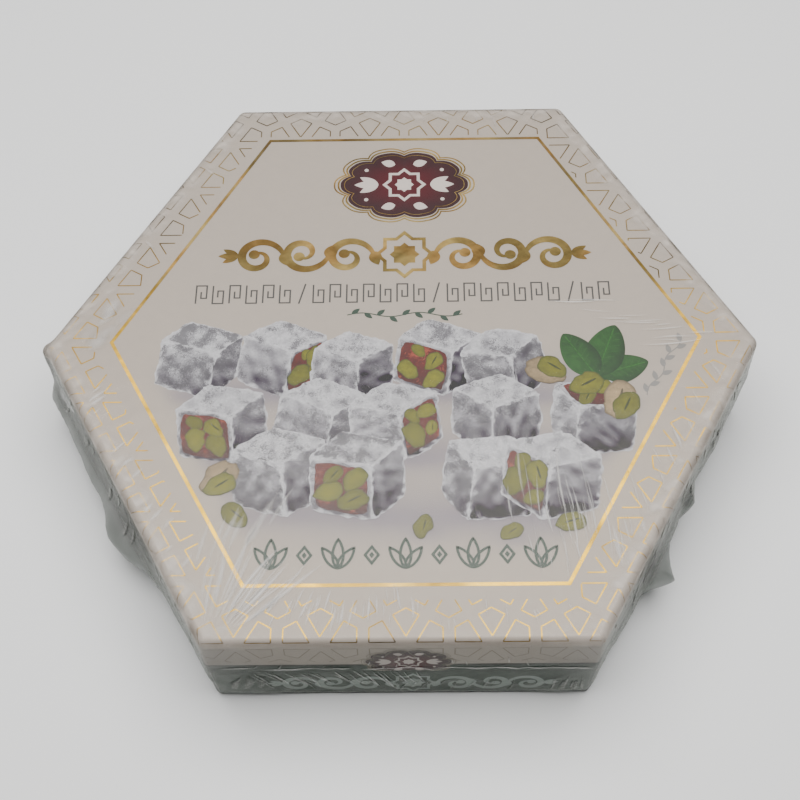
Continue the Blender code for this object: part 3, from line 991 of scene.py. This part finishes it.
def draw_cube(layers, foot, size, yaw, roll, cut_face, lift, draw, picture):
    """Sugar-dusted cube: a pale body, three darker faces that fade out at its edges, perhaps one cut."""
    sugar, jelly, nuts = layers
    light, shade = np.array(picture.sugar), np.array(picture.sugar_shade)
    outline, faces = cube_faces(foot, size, yaw, roll)
    seed = int(draw.integers(1000))

    def dust(points, share):
        return light * np.ones_like(points[..., :1])

    sugar.disc(soft_outline(outline, 0.07, seed, 0.75), 3, lift, dust)
    tones = {"top": 0.1, "left": 0.35, "right": 0.7}
    for at, (name, face) in enumerate(faces.items()):
        middle = face.mean(axis=0)
        inner = soft_outline(middle + (face - middle) * 0.985, 0.08, seed + at, 0.35)
        low, high = inner[:, 1].min(), inner[:, 1].max()
        tone = tones[name] + draw.uniform(-0.15, 0.15)
        wear = draw.choice((0.03, 0.07, 0.11, 0.18))

        def dusted(points, share):
            fall = 0.9 * (1.0 - (points[..., 1] - low) / (high - low)) ** 2 * (name != "top")
            rim = 1.0 - smooth_step(share + 0.1 * ripple(points, 3.0, seed + at), 0.9, 1.04)
            blotch = 0.25 * ripple(points, 5.0, seed + 20 + at)
            colour = light + (shade - light) * np.clip((tone + blotch + fall) * rim, 0.0, 1.5)[..., None]
            return np.concatenate((colour, 1.0 + (wear * rim)[..., None]), axis=-1)

        sugar.disc(inner, 18, lift + 0.003, dusted)
        if name == cut_face:
            draw_jelly(jelly, nuts, face, lift + 0.005, draw, picture)


def cube_places():
    """Feet, sizes and cut faces of the cubes, back row first."""
    rows = ((-21.0, (-58.0, -36.0, -13.0, 10.0, 33.0), 18.5, (None, "right", None, "left", None)),
            (-42.0, (-48.0, -24.0, 1.0, 25.0, 49.0), 19.5, ("left", None, "right", None, "top")),
            (-63.0, (-36.0, -9.0, 18.0, 41.0), 19.5, (None, "left", None, "left")))
    return [(x, y, size, cut) for y, places, size, cuts in rows for x, cut in zip(places, cuts)]


def make_picture(picture):
    """Heap of cut Turkish delight with pistachios and leaves, laid out back to front."""
    draw = np.random.default_rng(picture.seed)
    sugar, jelly, nuts, leaves = Drawing(), Drawing(), Drawing(), Drawing()
    spots = []
    lift = 0.04
    colours = np.array(picture.nut), np.array(picture.nut_rim)
    shells = np.array(picture.shell), 0.35 * np.array(picture.shell)
    draw_branch(leaves, (58.0, -14.0), lift, picture)
    for x, y, size, cut in cube_places():
        foot = np.array((x + draw.uniform(-2.5, 2.5), y + draw.uniform(-2.5, 2.5)))
        size *= draw.uniform(0.93, 1.08)
        yaw = math.radians(draw.uniform(22.0, 66.0))
        roll = math.radians(draw.uniform(-9.0, 9.0))
        draw_cube((sugar, jelly, nuts), foot, size, yaw, roll, cut, lift, draw, picture)
        spots.append((foot[0] + 2.0, foot[1] + 3.0, 1.05 * size, 0.42 * size, 0.55))
        spots.append((foot[0] + 0.1 * size, foot[1] + 0.06 * size, 0.75 * size, 0.15 * size, 0.75))
        lift += 0.01
    for at, (x, y, half, angle) in enumerate(((55.0, -17.0, 5.6, 0.4), (45.0, -11.0, 5.0, 2.4),
                                              (66.0, -25.0, 5.4, 1.0), (-54.0, -51.0, 5.0, 0.5),
                                              (-49.0, -61.0, 4.8, 2.3), (47.0, -64.0, 4.6, 0.2),
                                              (5.0, -65.0, 3.8, 1.2), (30.0, -67.0, 3.6, 0.5))):
        if at in (1, 2, 3):
            hull = np.array((x, y)) + turned(np.array((0.15, 0.5)) * half, angle)
            draw_nut(nuts, hull, 1.3 * half, angle + 0.25, lift + 0.002 * at, shells, 50 + 3 * at + 1)
        draw_nut(nuts, (x, y), half, angle, lift + 0.002 * at + 0.001, colours, 42 + 3 * at)
        spots.append((x + 1.0, y - 1.5, 1.5 * half, 0.8 * half, 0.6))
    make_picture_ground(spots, picture)
    dusted = ink_material("offset ink, dusted sugar", 0.9, 0.24, (0.7, 5.0, 1.0, linear("#3F3B41")), 0.5)
    glassy = ink_material("offset ink, jelly", 2.6, 0.5, (2.2, 7.0, 1.0, linear("#A04A30")), 0.36)
    sugar.piece("picture_sugar", dusted, "white_board", on_lid)
    jelly.piece("picture_jelly", glassy, "white_board", on_lid)
    nuts.piece("picture_nuts", ink_material("offset ink, pistachio", 1.3, 0.3), "white_board", on_lid)
    leaves.piece("picture_leaves", ink_material("offset ink, leaf", 2.0, 0.35), "white_board", on_lid)


def draw_branch(leaves, base, lift, picture):
    """Three pistachio leaves from one point: pointed ovals, darker towards one side, with veins."""
    green = np.array(picture.leaf)
    for angle, size in ((0.3, 17.0), (1.2, 20.0), (2.1, 18.0)):
        blade = oval_outline(0.5 * size, 0.3 * size, pinch=1.3, taper=-0.2, count=48) + (0.5 * size, 0.0)
        across = np.array((-math.sin(angle), math.cos(angle)))

        def tone(points, share):
            side = ((points - base) @ across) / (0.3 * size)
            return green * (1.0 + 0.35 * side - 0.25 * share ** 3)[..., None]

        leaves.disc(np.asarray(base) + turned(blade, angle), 8, lift, tone)
        rib = np.stack((np.linspace(0.04, 0.94, 12) * size, np.zeros(12)), axis=1)
        leaves.stroke(np.asarray(base) + turned(rib, angle), 0.4, lift + 0.003, green * 1.7)
        for at in np.linspace(0.22, 0.78, 6):
            room = 0.9 * math.sin(math.pi * at) ** 1.3
            for hand in (-1.0, 1.0):
                vein = np.array(((at, 0.0), (at + 0.07, hand * 0.12 * room), (at + 0.1, hand * 0.2 * room))) * size
                leaves.stroke(np.asarray(base) + turned(vein, angle), 0.16, lift + 0.003, green * 1.4)
        lift += 0.008


def make_picture_ground(spots, picture):
    """Board round the sweets with their soft shade: 1 - s e^(-(x / a)^2 - (y / b)^2) for each spot."""
    board = bpy.context.scene.carton_board
    tint = np.array(picture.shadow) / np.array(board.white) - 1.0

    def shaded(points, share):
        clear = np.ones(share.shape)
        for x, y, half_width, half_height, strength in spots:
            bell = np.exp(-((points[..., 0] - x) / half_width) ** 2 - ((points[..., 1] - y) / half_height) ** 2)
            clear *= 1.0 - strength * bell
        return 1.0 + tint * ((1.0 - clear) * (1.0 - smooth_step(share, 0.9, 1.0)))[..., None]

    corners = hexagon_corners(88.0, 80.5)
    share = np.linspace(0.0, 1.0, 60, endpoint=False)[None, :, None]
    outline = (corners[:, None] + (np.roll(corners, -1, axis=0) - corners)[:, None] * share).reshape(-1, 2)
    ground = Drawing()
    ground.disc(outline, 84, 0.015, shaded)
    finish = board_material("clay-coated boxboard with a printed shade", tuple(board.white), shaded=True)
    return ground.piece("picture_ground", finish, "white_board", on_lid)


# ------------------------------------------------------------------ film

# Puffs where the shrunk film stands off the walls:
# place (in walls counted from the +X corner), half length (walls), reach (mm), height above ground (mm)
PUFFS = (
    (3.30, 0.34, 4.6, 13.0),    # long swell along the front left wall
    (3.49, 0.065, 4.4, 13.0),   # its bulge
    (3.57, 0.05, 2.4, 13.0),
    (3.03, 0.06, 1.2, 15.0),    # round the left corner
    (2.86, 0.12, 1.6, 15.0),
    (2.40, 0.20, 2.0, 12.0),    # back left wall
    (1.35, 0.12, 1.4, 14.0),    # back wall
    (1.72, 0.10, 1.2, 10.0),
    (0.55, 0.22, 1.8, 13.0),    # back right wall
    (5.77, 0.05, 1.2, 18.0),    # front right wall
    (5.58, 0.022, 2.6, 14.0),   # its tab
    (5.45, 0.10, 1.6, 13.0),
    (5.22, 0.10, 1.2, 12.0),
    (4.12, 0.08, 0.8, 9.0),     # front wall, near its corners
    (4.90, 0.07, 0.9, 9.0),
)
PUFF_HALF_HEIGHT = 10.0
EAR_CENTRE = 5.319              # root of the sealed ear's tip, in walls counted from the +X corner
EAR_HEIGHT = 12.0
EAR_HALF_HEIGHT = 7.0
EAR_REACH = 8.4
EAR_RISE = 0.13                 # the ear's long flank, in walls
EAR_FALL = 0.03                 # its short flank


def puff_reach(place, height):
    """How far the film stands off: bells most e^(-(along / half)^2 - (up / 10)^2)."""
    reach = np.zeros(np.broadcast(place, height).shape)
    for centre, half_length, most, middle in PUFFS:
        reach += most * np.exp(-((place - centre) / half_length) ** 2 - ((height - middle) / PUFF_HALF_HEIGHT) ** 2)
    return reach


def ear_reach(place, height):
    """The ear stands out along +X: (1 - |along| / flank)^1.2 e^(-(up / 7)^2)."""
    along = place - EAR_CENTRE
    flank = np.where(along > 0.0, EAR_RISE, EAR_FALL)
    up = (height - EAR_HEIGHT) / EAR_HALF_HEIGHT
    return EAR_REACH * np.maximum(0.0, 1.0 - np.abs(along) / flank) ** 1.2 * np.exp(-up ** 2)


def corner_reach(place):
    """The film stands off the left corner: most e^(-(along / half)^2), high on the wall and on the fold."""
    return 1.3 * np.exp(-((place - 3.0) / 0.02) ** 2)


def film_profile(heights, clearance):
    """Offset of the film from the lid's outline, and its share of the puffs, at heights down the wall."""
    foot = LID_FOOT - 0.2
    known = np.array((0.0, 2.0, 0.25 * LID_FOOT, 0.75 * LID_FOOT, foot, 0.5 * (TOP + LID_FOOT),
                      TOP - FOLD_RADIUS))
    offset = np.interp(heights, (2.0, foot), (clearance - BASE_INSET + 0.1, clearance))
    share = np.interp(heights, known, (0.0, 0.5, 1.0, 1.0, 0.8, 0.5, 0.0))
    return offset, share


def ridges(points, wavelength, seed):
    """Sharp creases between soft hollows: (1 - |ripple|)^2."""
    return (1.0 - np.minimum(np.abs(ripple(points, wavelength, seed)), 1.0)) ** 2


def wall_reach(place, height, film):
    """Offset of the film from the lid's outline on the walls; also its crumple and its puffs there."""
    offset, loose = film_profile(height, film.clearance / MM)
    spot = np.stack(np.broadcast_arrays(place * WALL_LENGTHS.mean(), height), axis=-1)
    crumple = 0.7 * ridges(spot * (1.0, 0.7), 17.0, 7) + 0.3 * ridges(spot, 7.0, 8)
    puffs = puff_reach(place, height)
    return offset + loose * (puffs + film.crinkle / MM * crumple), crumple, puffs * loose


def make_film_skin(film, finish):
    """Shrink film round the carton, in rings: taut face, fold, loose puffed walls, tuck, underside."""
    per_wall, per_corner = 150, 9
    clearance = film.clearance / MM
    flat, normals = rounded_ring(FOLD_RADIUS, 0.6, per_wall, per_corner)
    corner = np.linspace(-0.012, 0.012, per_corner)
    wall = np.linspace(0.012, 0.988, per_wall + 2)[1:-1]
    place = (np.arange(WALLS)[:, None] + np.concatenate((corner, wall))).ravel() % WALLS
    along = place * WALL_LENGTHS.mean()
    veil, high, low = (np.array(colour) for colour in (film.veil, film.haze, film.haze_low))
    sides = 1.0 - np.exp(-((place - FRONT_WALL - 0.5) / 0.45) ** 6)

    shares = np.concatenate((np.linspace(0.04, 0.76, 9), np.linspace(0.79, 0.93, 6),
                             np.linspace(0.94, 1.0, 9)))[:, None, None]
    top = flat * shares
    lift = clearance + 0.05 * (ripple(top, 9.0, 3) + 1.0) * smooth_step(shares[..., 0], 0.6, 0.95)
    rings = [np.dstack((top, TOP + lift))]
    # Milky patches along the face's edge, away from the front wall: a painted sheen in the film's veil colour.
    band = smooth_step(shares[..., 0] + 0.012 * ripple(top, 11.0, 12), 0.94, 0.985)
    patch = np.clip(0.3 + 0.26 * ripple(top, 8.0, 13) + 0.16 * ripple(top, 3.0, 14), 0.0, 0.7)
    crease_and_sheen = [0.1 * ridges(top, 16.0, 5) * smooth_step(shares[..., 0], 0.72, 0.97) + sides * band * patch]
    milk = [np.broadcast_to(veil, (*top.shape[:2], 3))]

    angle = np.linspace(0.0, math.pi / 2.0, 8)[1:, None]
    radius = FOLD_RADIUS + clearance
    fold = flat + normals * ((radius + corner_reach(place)) * np.sin(angle))[..., None]
    height = np.broadcast_to(TOP - FOLD_RADIUS + radius * np.cos(angle), fold.shape[:2])
    rings.append(np.dstack((fold, height)))
    spot = np.dstack(np.broadcast_arrays(along, height))
    crease_and_sheen.append(0.06 + 0.1 * ridges(spot, 6.0, 6) + sides * np.clip(0.28 + 0.2 * ripple(spot, 6.0, 15), 0.0, 0.6))
    milk.append(np.broadcast_to(veil, (*fold.shape[:2], 3)))

    height = np.linspace(TOP - FOLD_RADIUS - 1.0, 1.6, 34)[:, None]
    reach, crumple, puffs = wall_reach(place, height, film)
    reach = reach + corner_reach(place) * smooth_step(height, 22.0, 36.0)
    loose = film_profile(height, clearance)[1]
    rings.append(np.dstack((flat + normals * (FOLD_RADIUS + reach)[..., None]
                            + np.array((1.0, 0.0)) * (loose * ear_reach(place, height))[..., None],
                            np.broadcast_to(height, reach.shape))))
    stands = puffs + loose * ear_reach(place, height)
    crease_and_sheen.append(0.02 + 0.04 * crumple + sides * 0.32 + 0.5 * smooth_step(stands, 0.8, 3.5))
    upper = smooth_step(height, 12.0, 32.0) * np.ones_like(reach)
    milk.append(low + (high - low) * upper[..., None])

    inset = np.array((clearance - BASE_INSET - 0.15, -2.2, -3.6))[:, None, None]
    height = np.broadcast_to(np.array((0.35, 0.06, 0.0))[:, None], (3, len(flat)))
    rings.append(np.dstack((flat + normals * (FOLD_RADIUS + inset), height)))
    under = flat * np.array((0.9, 0.5, 0.05))[:, None, None]
    rings.append(np.dstack((under, np.zeros(under.shape[:2]))))
    crease_and_sheen.append(np.full((6, len(flat)), 0.2))
    milk.append(np.broadcast_to(low, (6, len(flat), 3)))

    mesh = ring_shell("film_skin", np.concatenate(rings))
    values = np.append(np.concatenate(crease_and_sheen).ravel(), (0.03, 0.2))
    layer = mesh.attributes.new("crease_and_sheen", "FLOAT", "POINT")
    layer.data.foreach_set("value", values.astype(np.float32))
    colours = np.concatenate((np.concatenate(milk).reshape(-1, 3), (veil, low)))
    colours = np.concatenate((colours, np.ones((len(colours), 1))), axis=1)
    layer = mesh.attributes.new("milk", "FLOAT_COLOR", "POINT")
    layer.data.foreach_set("color", colours.astype(np.float32).ravel())
    return add_piece(mesh, finish, replaced=("film_wrap",))


# Groups of tension pleats on the lid's face, strung along a line; their whiteness is partly stretched film and
# partly painted highlight streaks:
# count, line's two ends (mm), scatter (mm), headings at the two ends (degrees), lengths, widths (mm), whiteness
PLEAT_GROUPS = (
    (30, (-55.0, -94.5), (-45.0, -95.0), 1.6, (88.0, 38.0), (12.0, 36.0), (0.7, 2.2), 0.5),    # front left fan
    (9, (-58.0, -76.0), (-40.0, -66.0), 4.0, (80.0, 60.0), (9.0, 18.0), (1.5, 3.4), 0.3),
    (34, (-40.0, -93.0), (4.0, -93.0), 3.5, (64.0, 98.0), (4.0, 11.0), (0.4, 1.2), 0.55),       # front band
    (18, (4.0, -94.0), (54.0, -94.0), 3.5, (92.0, 106.0), (3.0, 9.0), (0.4, 1.1), 0.42),
    (38, (38.0, -70.0), (66.0, -76.0), 12.0, (96.0, 98.0), (8.0, 30.0), (0.3, 1.1), 0.5),       # front right
    (26, (60.0, -82.0), (98.0, -16.0), 4.0, (98.0, 114.0), (4.0, 12.0), (0.5, 1.8), 0.45),      # right band
    (40, (-62.0, -82.0), (-101.0, -12.0), 3.0, (62.0, 40.0), (3.0, 9.0), (0.8, 2.6), 0.5),      # left band
    (9, (-101.0, -8.0), (-90.0, 14.0), 4.0, (30.0, 60.0), (7.0, 14.0), (2.5, 6.0), 0.38),       # left corner
    (14, (64.0, 16.0), (98.0, -2.0), 5.0, (174.0, 184.0), (6.0, 24.0), (0.4, 1.3), 0.45),       # right corner
    (16, (-94.0, 16.0), (-62.0, 76.0), 4.0, (128.0, 142.0), (4.0, 12.0), (0.5, 1.8), 0.4),      # back left band
    (10, (-46.0, 92.0), (48.0, 92.0), 3.0, (80.0, 100.0), (3.0, 8.0), (0.4, 1.2), 0.25),        # back band
    (12, (96.0, 14.0), (62.0, 76.0), 4.0, (50.0, 62.0), (4.0, 12.0), (0.5, 1.6), 0.3),          # back right band
)

# The same on three walls, as distance along the wall from its middle and height above the ground
WALL_PLEAT_GROUPS = {
    FRONT_WALL: (
        (22, (-54.0, 24.0), (48.0, 23.7), 0.4, (4.0, -3.0), (5.0, 14.0), (0.4, 1.0), 0.6),      # at the lid's foot
        (24, (-46.0, 22.6), (4.0, 22.6), 0.8, (-60.0, -68.0), (12.0, 19.0), (0.3, 0.9), 0.42),  # on the base
        (10, (-4.0, 4.0), (32.0, 4.0), 1.5, (70.0, 80.0), (8.0, 15.0), (0.3, 0.8), 0.15),
        (7, (43.0, 3.5), (52.0, 3.5), 1.0, (86.0, 92.0), (10.0, 15.0), (0.4, 1.4), 0.22),
        (5, (-52.0, 6.0), (-40.0, 8.0), 2.0, (70.0, 80.0), (6.0, 12.0), (1.5, 4.0), 0.15),
        (12, (-46.0, 25.0), (46.0, 26.0), 1.5, (60.0, 110.0), (3.0, 6.0), (0.3, 0.8), 0.25),    # on the lid
    ),
    FRONT_WALL - 1: (
        (22, (-52.0, 35.0), (50.0, 35.0), 1.5, (-70.0, -110.0), (3.0, 8.0), (0.5, 1.5), 0.4),
        (16, (-50.0, 24.0), (50.0, 22.0), 5.0, (60.0, 120.0), (5.0, 12.0), (0.8, 2.4), 0.25),
    ),
    FRONT_WALL + 1: (
        (22, (-50.0, 35.0), (52.0, 35.0), 1.5, (-70.0, -110.0), (3.0, 8.0), (0.5, 1.5), 0.4),
        (16, (-46.0, 24.0), (50.0, 24.0), 5.0, (60.0, 120.0), (5.0, 12.0), (0.8, 2.4), 0.25),
    ),
}


def pleat_paths(groups, draw):
    """Start, end, width and whiteness of every pleat."""
    paths = []
    for count, first, last, scatter, headings, lengths, widths, white in groups:
        for index in range(count):
            share = (index + draw.uniform(0.2, 0.8)) / count
            start = np.array(first) + (np.array(last) - first) * share + scatter * draw.uniform(-1.0, 1.0, 2)
            heading = headings[0] + (headings[1] - headings[0]) * share + draw.uniform(-5.0, 5.0)
            run = draw.uniform(*lengths) * np.array((math.cos(math.radians(heading)), math.sin(math.radians(heading))))
            paths.append((start, start + run, draw.uniform(*widths), white * draw.uniform(0.35, 1.0)))
    return paths


def draw_pleat(drawing, path, film, draw, origin, wall):
    """Raised pleat: a rounded roof across and a swelling sin(pi u) along, bowed by a parabola."""
    start, end, width, strength = path
    run = end - start
    size = np.linalg.norm(run)
    side = np.array((-run[1], run[0])) / size
    u = np.linspace(0.0, 1.0, 18)[:, None]
    v = np.linspace(-1.0, 1.0, 7)[None, :]
    swell = np.sin(math.pi * u ** draw.uniform(0.6, 1.5))
    across = 0.5 * width * swell * v + draw.uniform(-0.05, 0.05) * size * 4.0 * u * (1.0 - u)
    points = start + run * u[..., None] + side * across[..., None] - origin
    roof = swell * (0.5 + 0.5 * np.cos(math.pi * v))
    # The ink is the pleat's whiteness along its roof: partly stretched film, partly painted highlight.
    drawing.grid(points, film.pleat_height / MM * roof, np.repeat(strength * roof[..., None], 3, axis=2), wall=wall)


def make_film_pleats(film, finish):
    """Raised pleats on the lid's face and on the three front walls; their whiteness is partly stretched film, partly a
    painted highlight.
    """
    draw = np.random.default_rng(23)
    face, walls = Drawing(), Drawing()
    reach = REACH - FOLD_RADIUS - 0.3
    for path in pleat_paths(PLEAT_GROUPS, draw):
        if max((OUTWARD @ path[0] - reach).max(), (OUTWARD @ path[1] - reach).max()) < 0.0:
            draw_pleat(face, path, film, draw, PRINT_SHIFT, 0)
    for wall, groups in WALL_PLEAT_GROUPS.items():
        for path in pleat_paths(groups, draw):
            if min(path[0][1], path[1][1]) > 1.8:
                draw_pleat(walls, path, film, draw, 0.0, wall)

    def on_face(points, lifts, places):
        return on_lid(points, lifts + film.clearance / MM + 0.11, places)

    def on_wall(points, lifts, places):
        place = places + 0.5 + points[:, 0] / WALL_LENGTHS[places]
        offset = wall_reach(place, points[:, 1], film)[0] + 0.15 + lifts
        middles = (CORNERS + 0.5 * WALL_RUNS)[places]
        flat = middles + ALONG[places] * points[:, :1] + OUTWARD[places] * offset[:, None]
        return np.column_stack((flat, points[:, 1]))

    face.piece("film_pleats", finish, "clear_film", on_face)
    walls.piece("film_wall_pleats", finish, "clear_film", on_wall)


# ------------------------------------------------------------------ stage

def aimed(name, kind, place, target):
    """Lamp or camera at place, turned so that its -Z looks at target."""
    old = bpy.data.objects.get(name)
    if old is not None:
        bpy.data.objects.remove(old, do_unlink=True)
    data = bpy.data.cameras.new(name) if kind == "CAMERA" else bpy.data.lights.new(name, kind)
    thing = bpy.data.objects.new(name, data)
    bpy.context.scene.collection.objects.link(thing)
    thing.location = place
    thing.rotation_euler = (mathutils.Vector(target) - mathutils.Vector(place)).to_track_quat("-Z", "Y").to_euler()
    return thing


def make_stage(stage):
    """Pale floor, an overhead softbox, a weak front fill, and the camera above the front edge."""
    middle = np.array((0.0, 0.0, cad_box[1][2]))
    half = 3.0 / MM
    square = np.array(((-half, -half, -0.2), (half, -half, -0.2), (half, half, -0.2), (-half, half, -0.2)))
    mesh = build_mesh("floor", square, [np.arange(4)[None]])
    mesh.materials.append(floor_material("matt background board", tuple(stage.floor)))
    old = bpy.data.objects.get("floor")
    if old is not None:
        bpy.data.objects.remove(old, do_unlink=True)
    floor = bpy.data.objects.new("floor", mesh)
    bpy.context.scene.collection.objects.link(floor)

    key = aimed("key_softbox", "AREA", middle + (0.0, 0.05, 0.76), middle)
    key.data.shape = "RECTANGLE"
    key.data.size = 0.95
    key.data.size_y = 0.75
    key.data.energy = stage.key_power
    fill = aimed("front_fill", "AREA", middle + (-0.3, -0.9, 0.45), middle)
    fill.data.size = 0.7
    fill.data.energy = stage.fill_power
    fill.visible_glossy = False

    world = bpy.data.worlds.new("studio")
    world.use_nodes = True
    world.node_tree.nodes["Background"].inputs["Color"].default_value = opaque(linear("#D9DADB"))
    world.node_tree.nodes["Background"].inputs["Strength"].default_value = 0.3
    bpy.context.scene.world = world

    camera = aimed("camera", "CAMERA", middle + (0.0052, -0.2551, 0.3641), middle)
    camera.rotation_euler = [math.radians(angle) for angle in (32.724, 0.896, -0.074)]
    camera.data.lens = stage.lens
    camera.data.sensor_width = 36.0
    camera.data.clip_start = 0.01
    bpy.context.scene.camera = camera


# ------------------------------------------------------------------ add-on

class CARTON_OT_board(bpy.types.Operator):
    """Make the lid and the base of folded board"""
    bl_idname = "carton.board"
    bl_label = "Lid and Base"

    def execute(self, context):
        make_lid(context.scene.carton_board)
        make_base(context.scene.carton_board)
        return {"FINISHED"}


class CARTON_OT_foil(bpy.types.Operator):
    """Stamp the gold lattice, frame and scroll band on the lid"""
    bl_idname = "carton.foil"
    bl_label = "Gold Foil"

    def execute(self, context):
        foil = context.scene.carton_foil
        finish = gold_finish(foil)
        make_foil_lattice(foil, fine_gold_finish(foil))
        make_foil_frame(foil, finish)
        make_title_scroll(finish)
        return {"FINISHED"}


class CARTON_OT_ornaments(bpy.types.Operator):
    """Print the medallions, the small ornaments and the scroll on the base"""
    bl_idname = "carton.ornaments"
    bl_label = "Ornaments"

    def execute(self, context):
        ornament = context.scene.carton_ornament
        make_medallions(ornament, gold_finish(context.scene.carton_foil))
        make_small_ornaments(ornament)
        make_base_scrolls(ornament)
        return {"FINISHED"}


class CARTON_OT_picture(bpy.types.Operator):
    """Print the picture of the sweets on the lid"""
    bl_idname = "carton.picture"
    bl_label = "Picture"

    def execute(self, context):
        make_picture(context.scene.carton_picture)
        return {"FINISHED"}


class CARTON_OT_film(bpy.types.Operator):
    """Wrap the carton in clear shrink film with its pleats"""
    bl_idname = "carton.film"
    bl_label = "Shrink Film"

    def execute(self, context):
        film = context.scene.carton_film
        make_film_skin(film, film_material("clear shrink film", "crease_and_sheen", "milk", 1.3, 0.85))
        # The pleats' ink mixes in the pleat colour: partly whitened film, partly painted highlight streaks.
        make_film_pleats(film, film_material("pleated shrink film", "ink", tuple(film.pleat_whitening_and_glint), 1.3, 1.0))
        return {"FINISHED"}


class CARTON_OT_stage(bpy.types.Operator):
    """Set the floor, the lamps and the camera"""
    bl_idname = "carton.stage"
    bl_label = "Stage"

    def execute(self, context):
        make_stage(context.scene.carton_stage)
        return {"FINISHED"}


class CARTON_PT_sidebar(bpy.types.Panel):
    """Sizes, colours and pieces of the carton"""
    bl_idname = "CARTON_PT_sidebar"
    bl_label = "Sweets Carton"
    bl_space_type = "VIEW_3D"
    bl_region_type = "UI"
    bl_category = "Carton"

    def draw(self, context):
        for name, group, operators in PARTS:
            box = self.layout.box()
            settings = getattr(context.scene, name)
            for setting in group.__annotations__:
                box.prop(settings, setting)
            for operator in operators:
                box.operator(operator.bl_idname)


PARTS = (
    ("carton_board", CartonBoard, (CARTON_OT_board,)),
    ("carton_foil", CartonFoil, (CARTON_OT_foil,)),
    ("carton_ornament", CartonOrnament, (CARTON_OT_ornaments,)),
    ("carton_picture", CartonPicture, (CARTON_OT_picture,)),
    ("carton_film", CartonFilm, (CARTON_OT_film,)),
    ("carton_stage", CartonStage, (CARTON_OT_stage,)),
)


def gold_finish(foil):
    return foil_material("hot-stamped gold foil", tuple(foil.gold), tuple(foil.warm), tuple(foil.glint_gold),
                         tuple(foil.pale), (0.36, 1.1))


def fine_gold_finish(foil):
    return foil_material("hot-stamped gold foil in fine lines", tuple(foil.gold), tuple(foil.warm), tuple(foil.glint_gold),
                         tuple(foil.pale), (0.14, 0.85))


def register():
    for name, group, operators in PARTS:
        bpy.utils.register_class(group)
        setattr(bpy.types.Scene, name, bpy.props.PointerProperty(type=group))
        for operator in operators:
            bpy.utils.register_class(operator)
    bpy.utils.register_class(CARTON_PT_sidebar)


def unregister():
    bpy.utils.unregister_class(CARTON_PT_sidebar)
    for name, group, operators in reversed(PARTS):
        for operator in reversed(operators):
            bpy.utils.unregister_class(operator)
        delattr(bpy.types.Scene, name)
        bpy.utils.unregister_class(group)


def main():
    register()
    bpy.ops.carton.board()
    bpy.ops.carton.foil()
    bpy.ops.carton.ornaments()
    bpy.ops.carton.picture()
    bpy.ops.carton.film()
    bpy.ops.carton.stage()


if __name__ == "__main__":
    main()
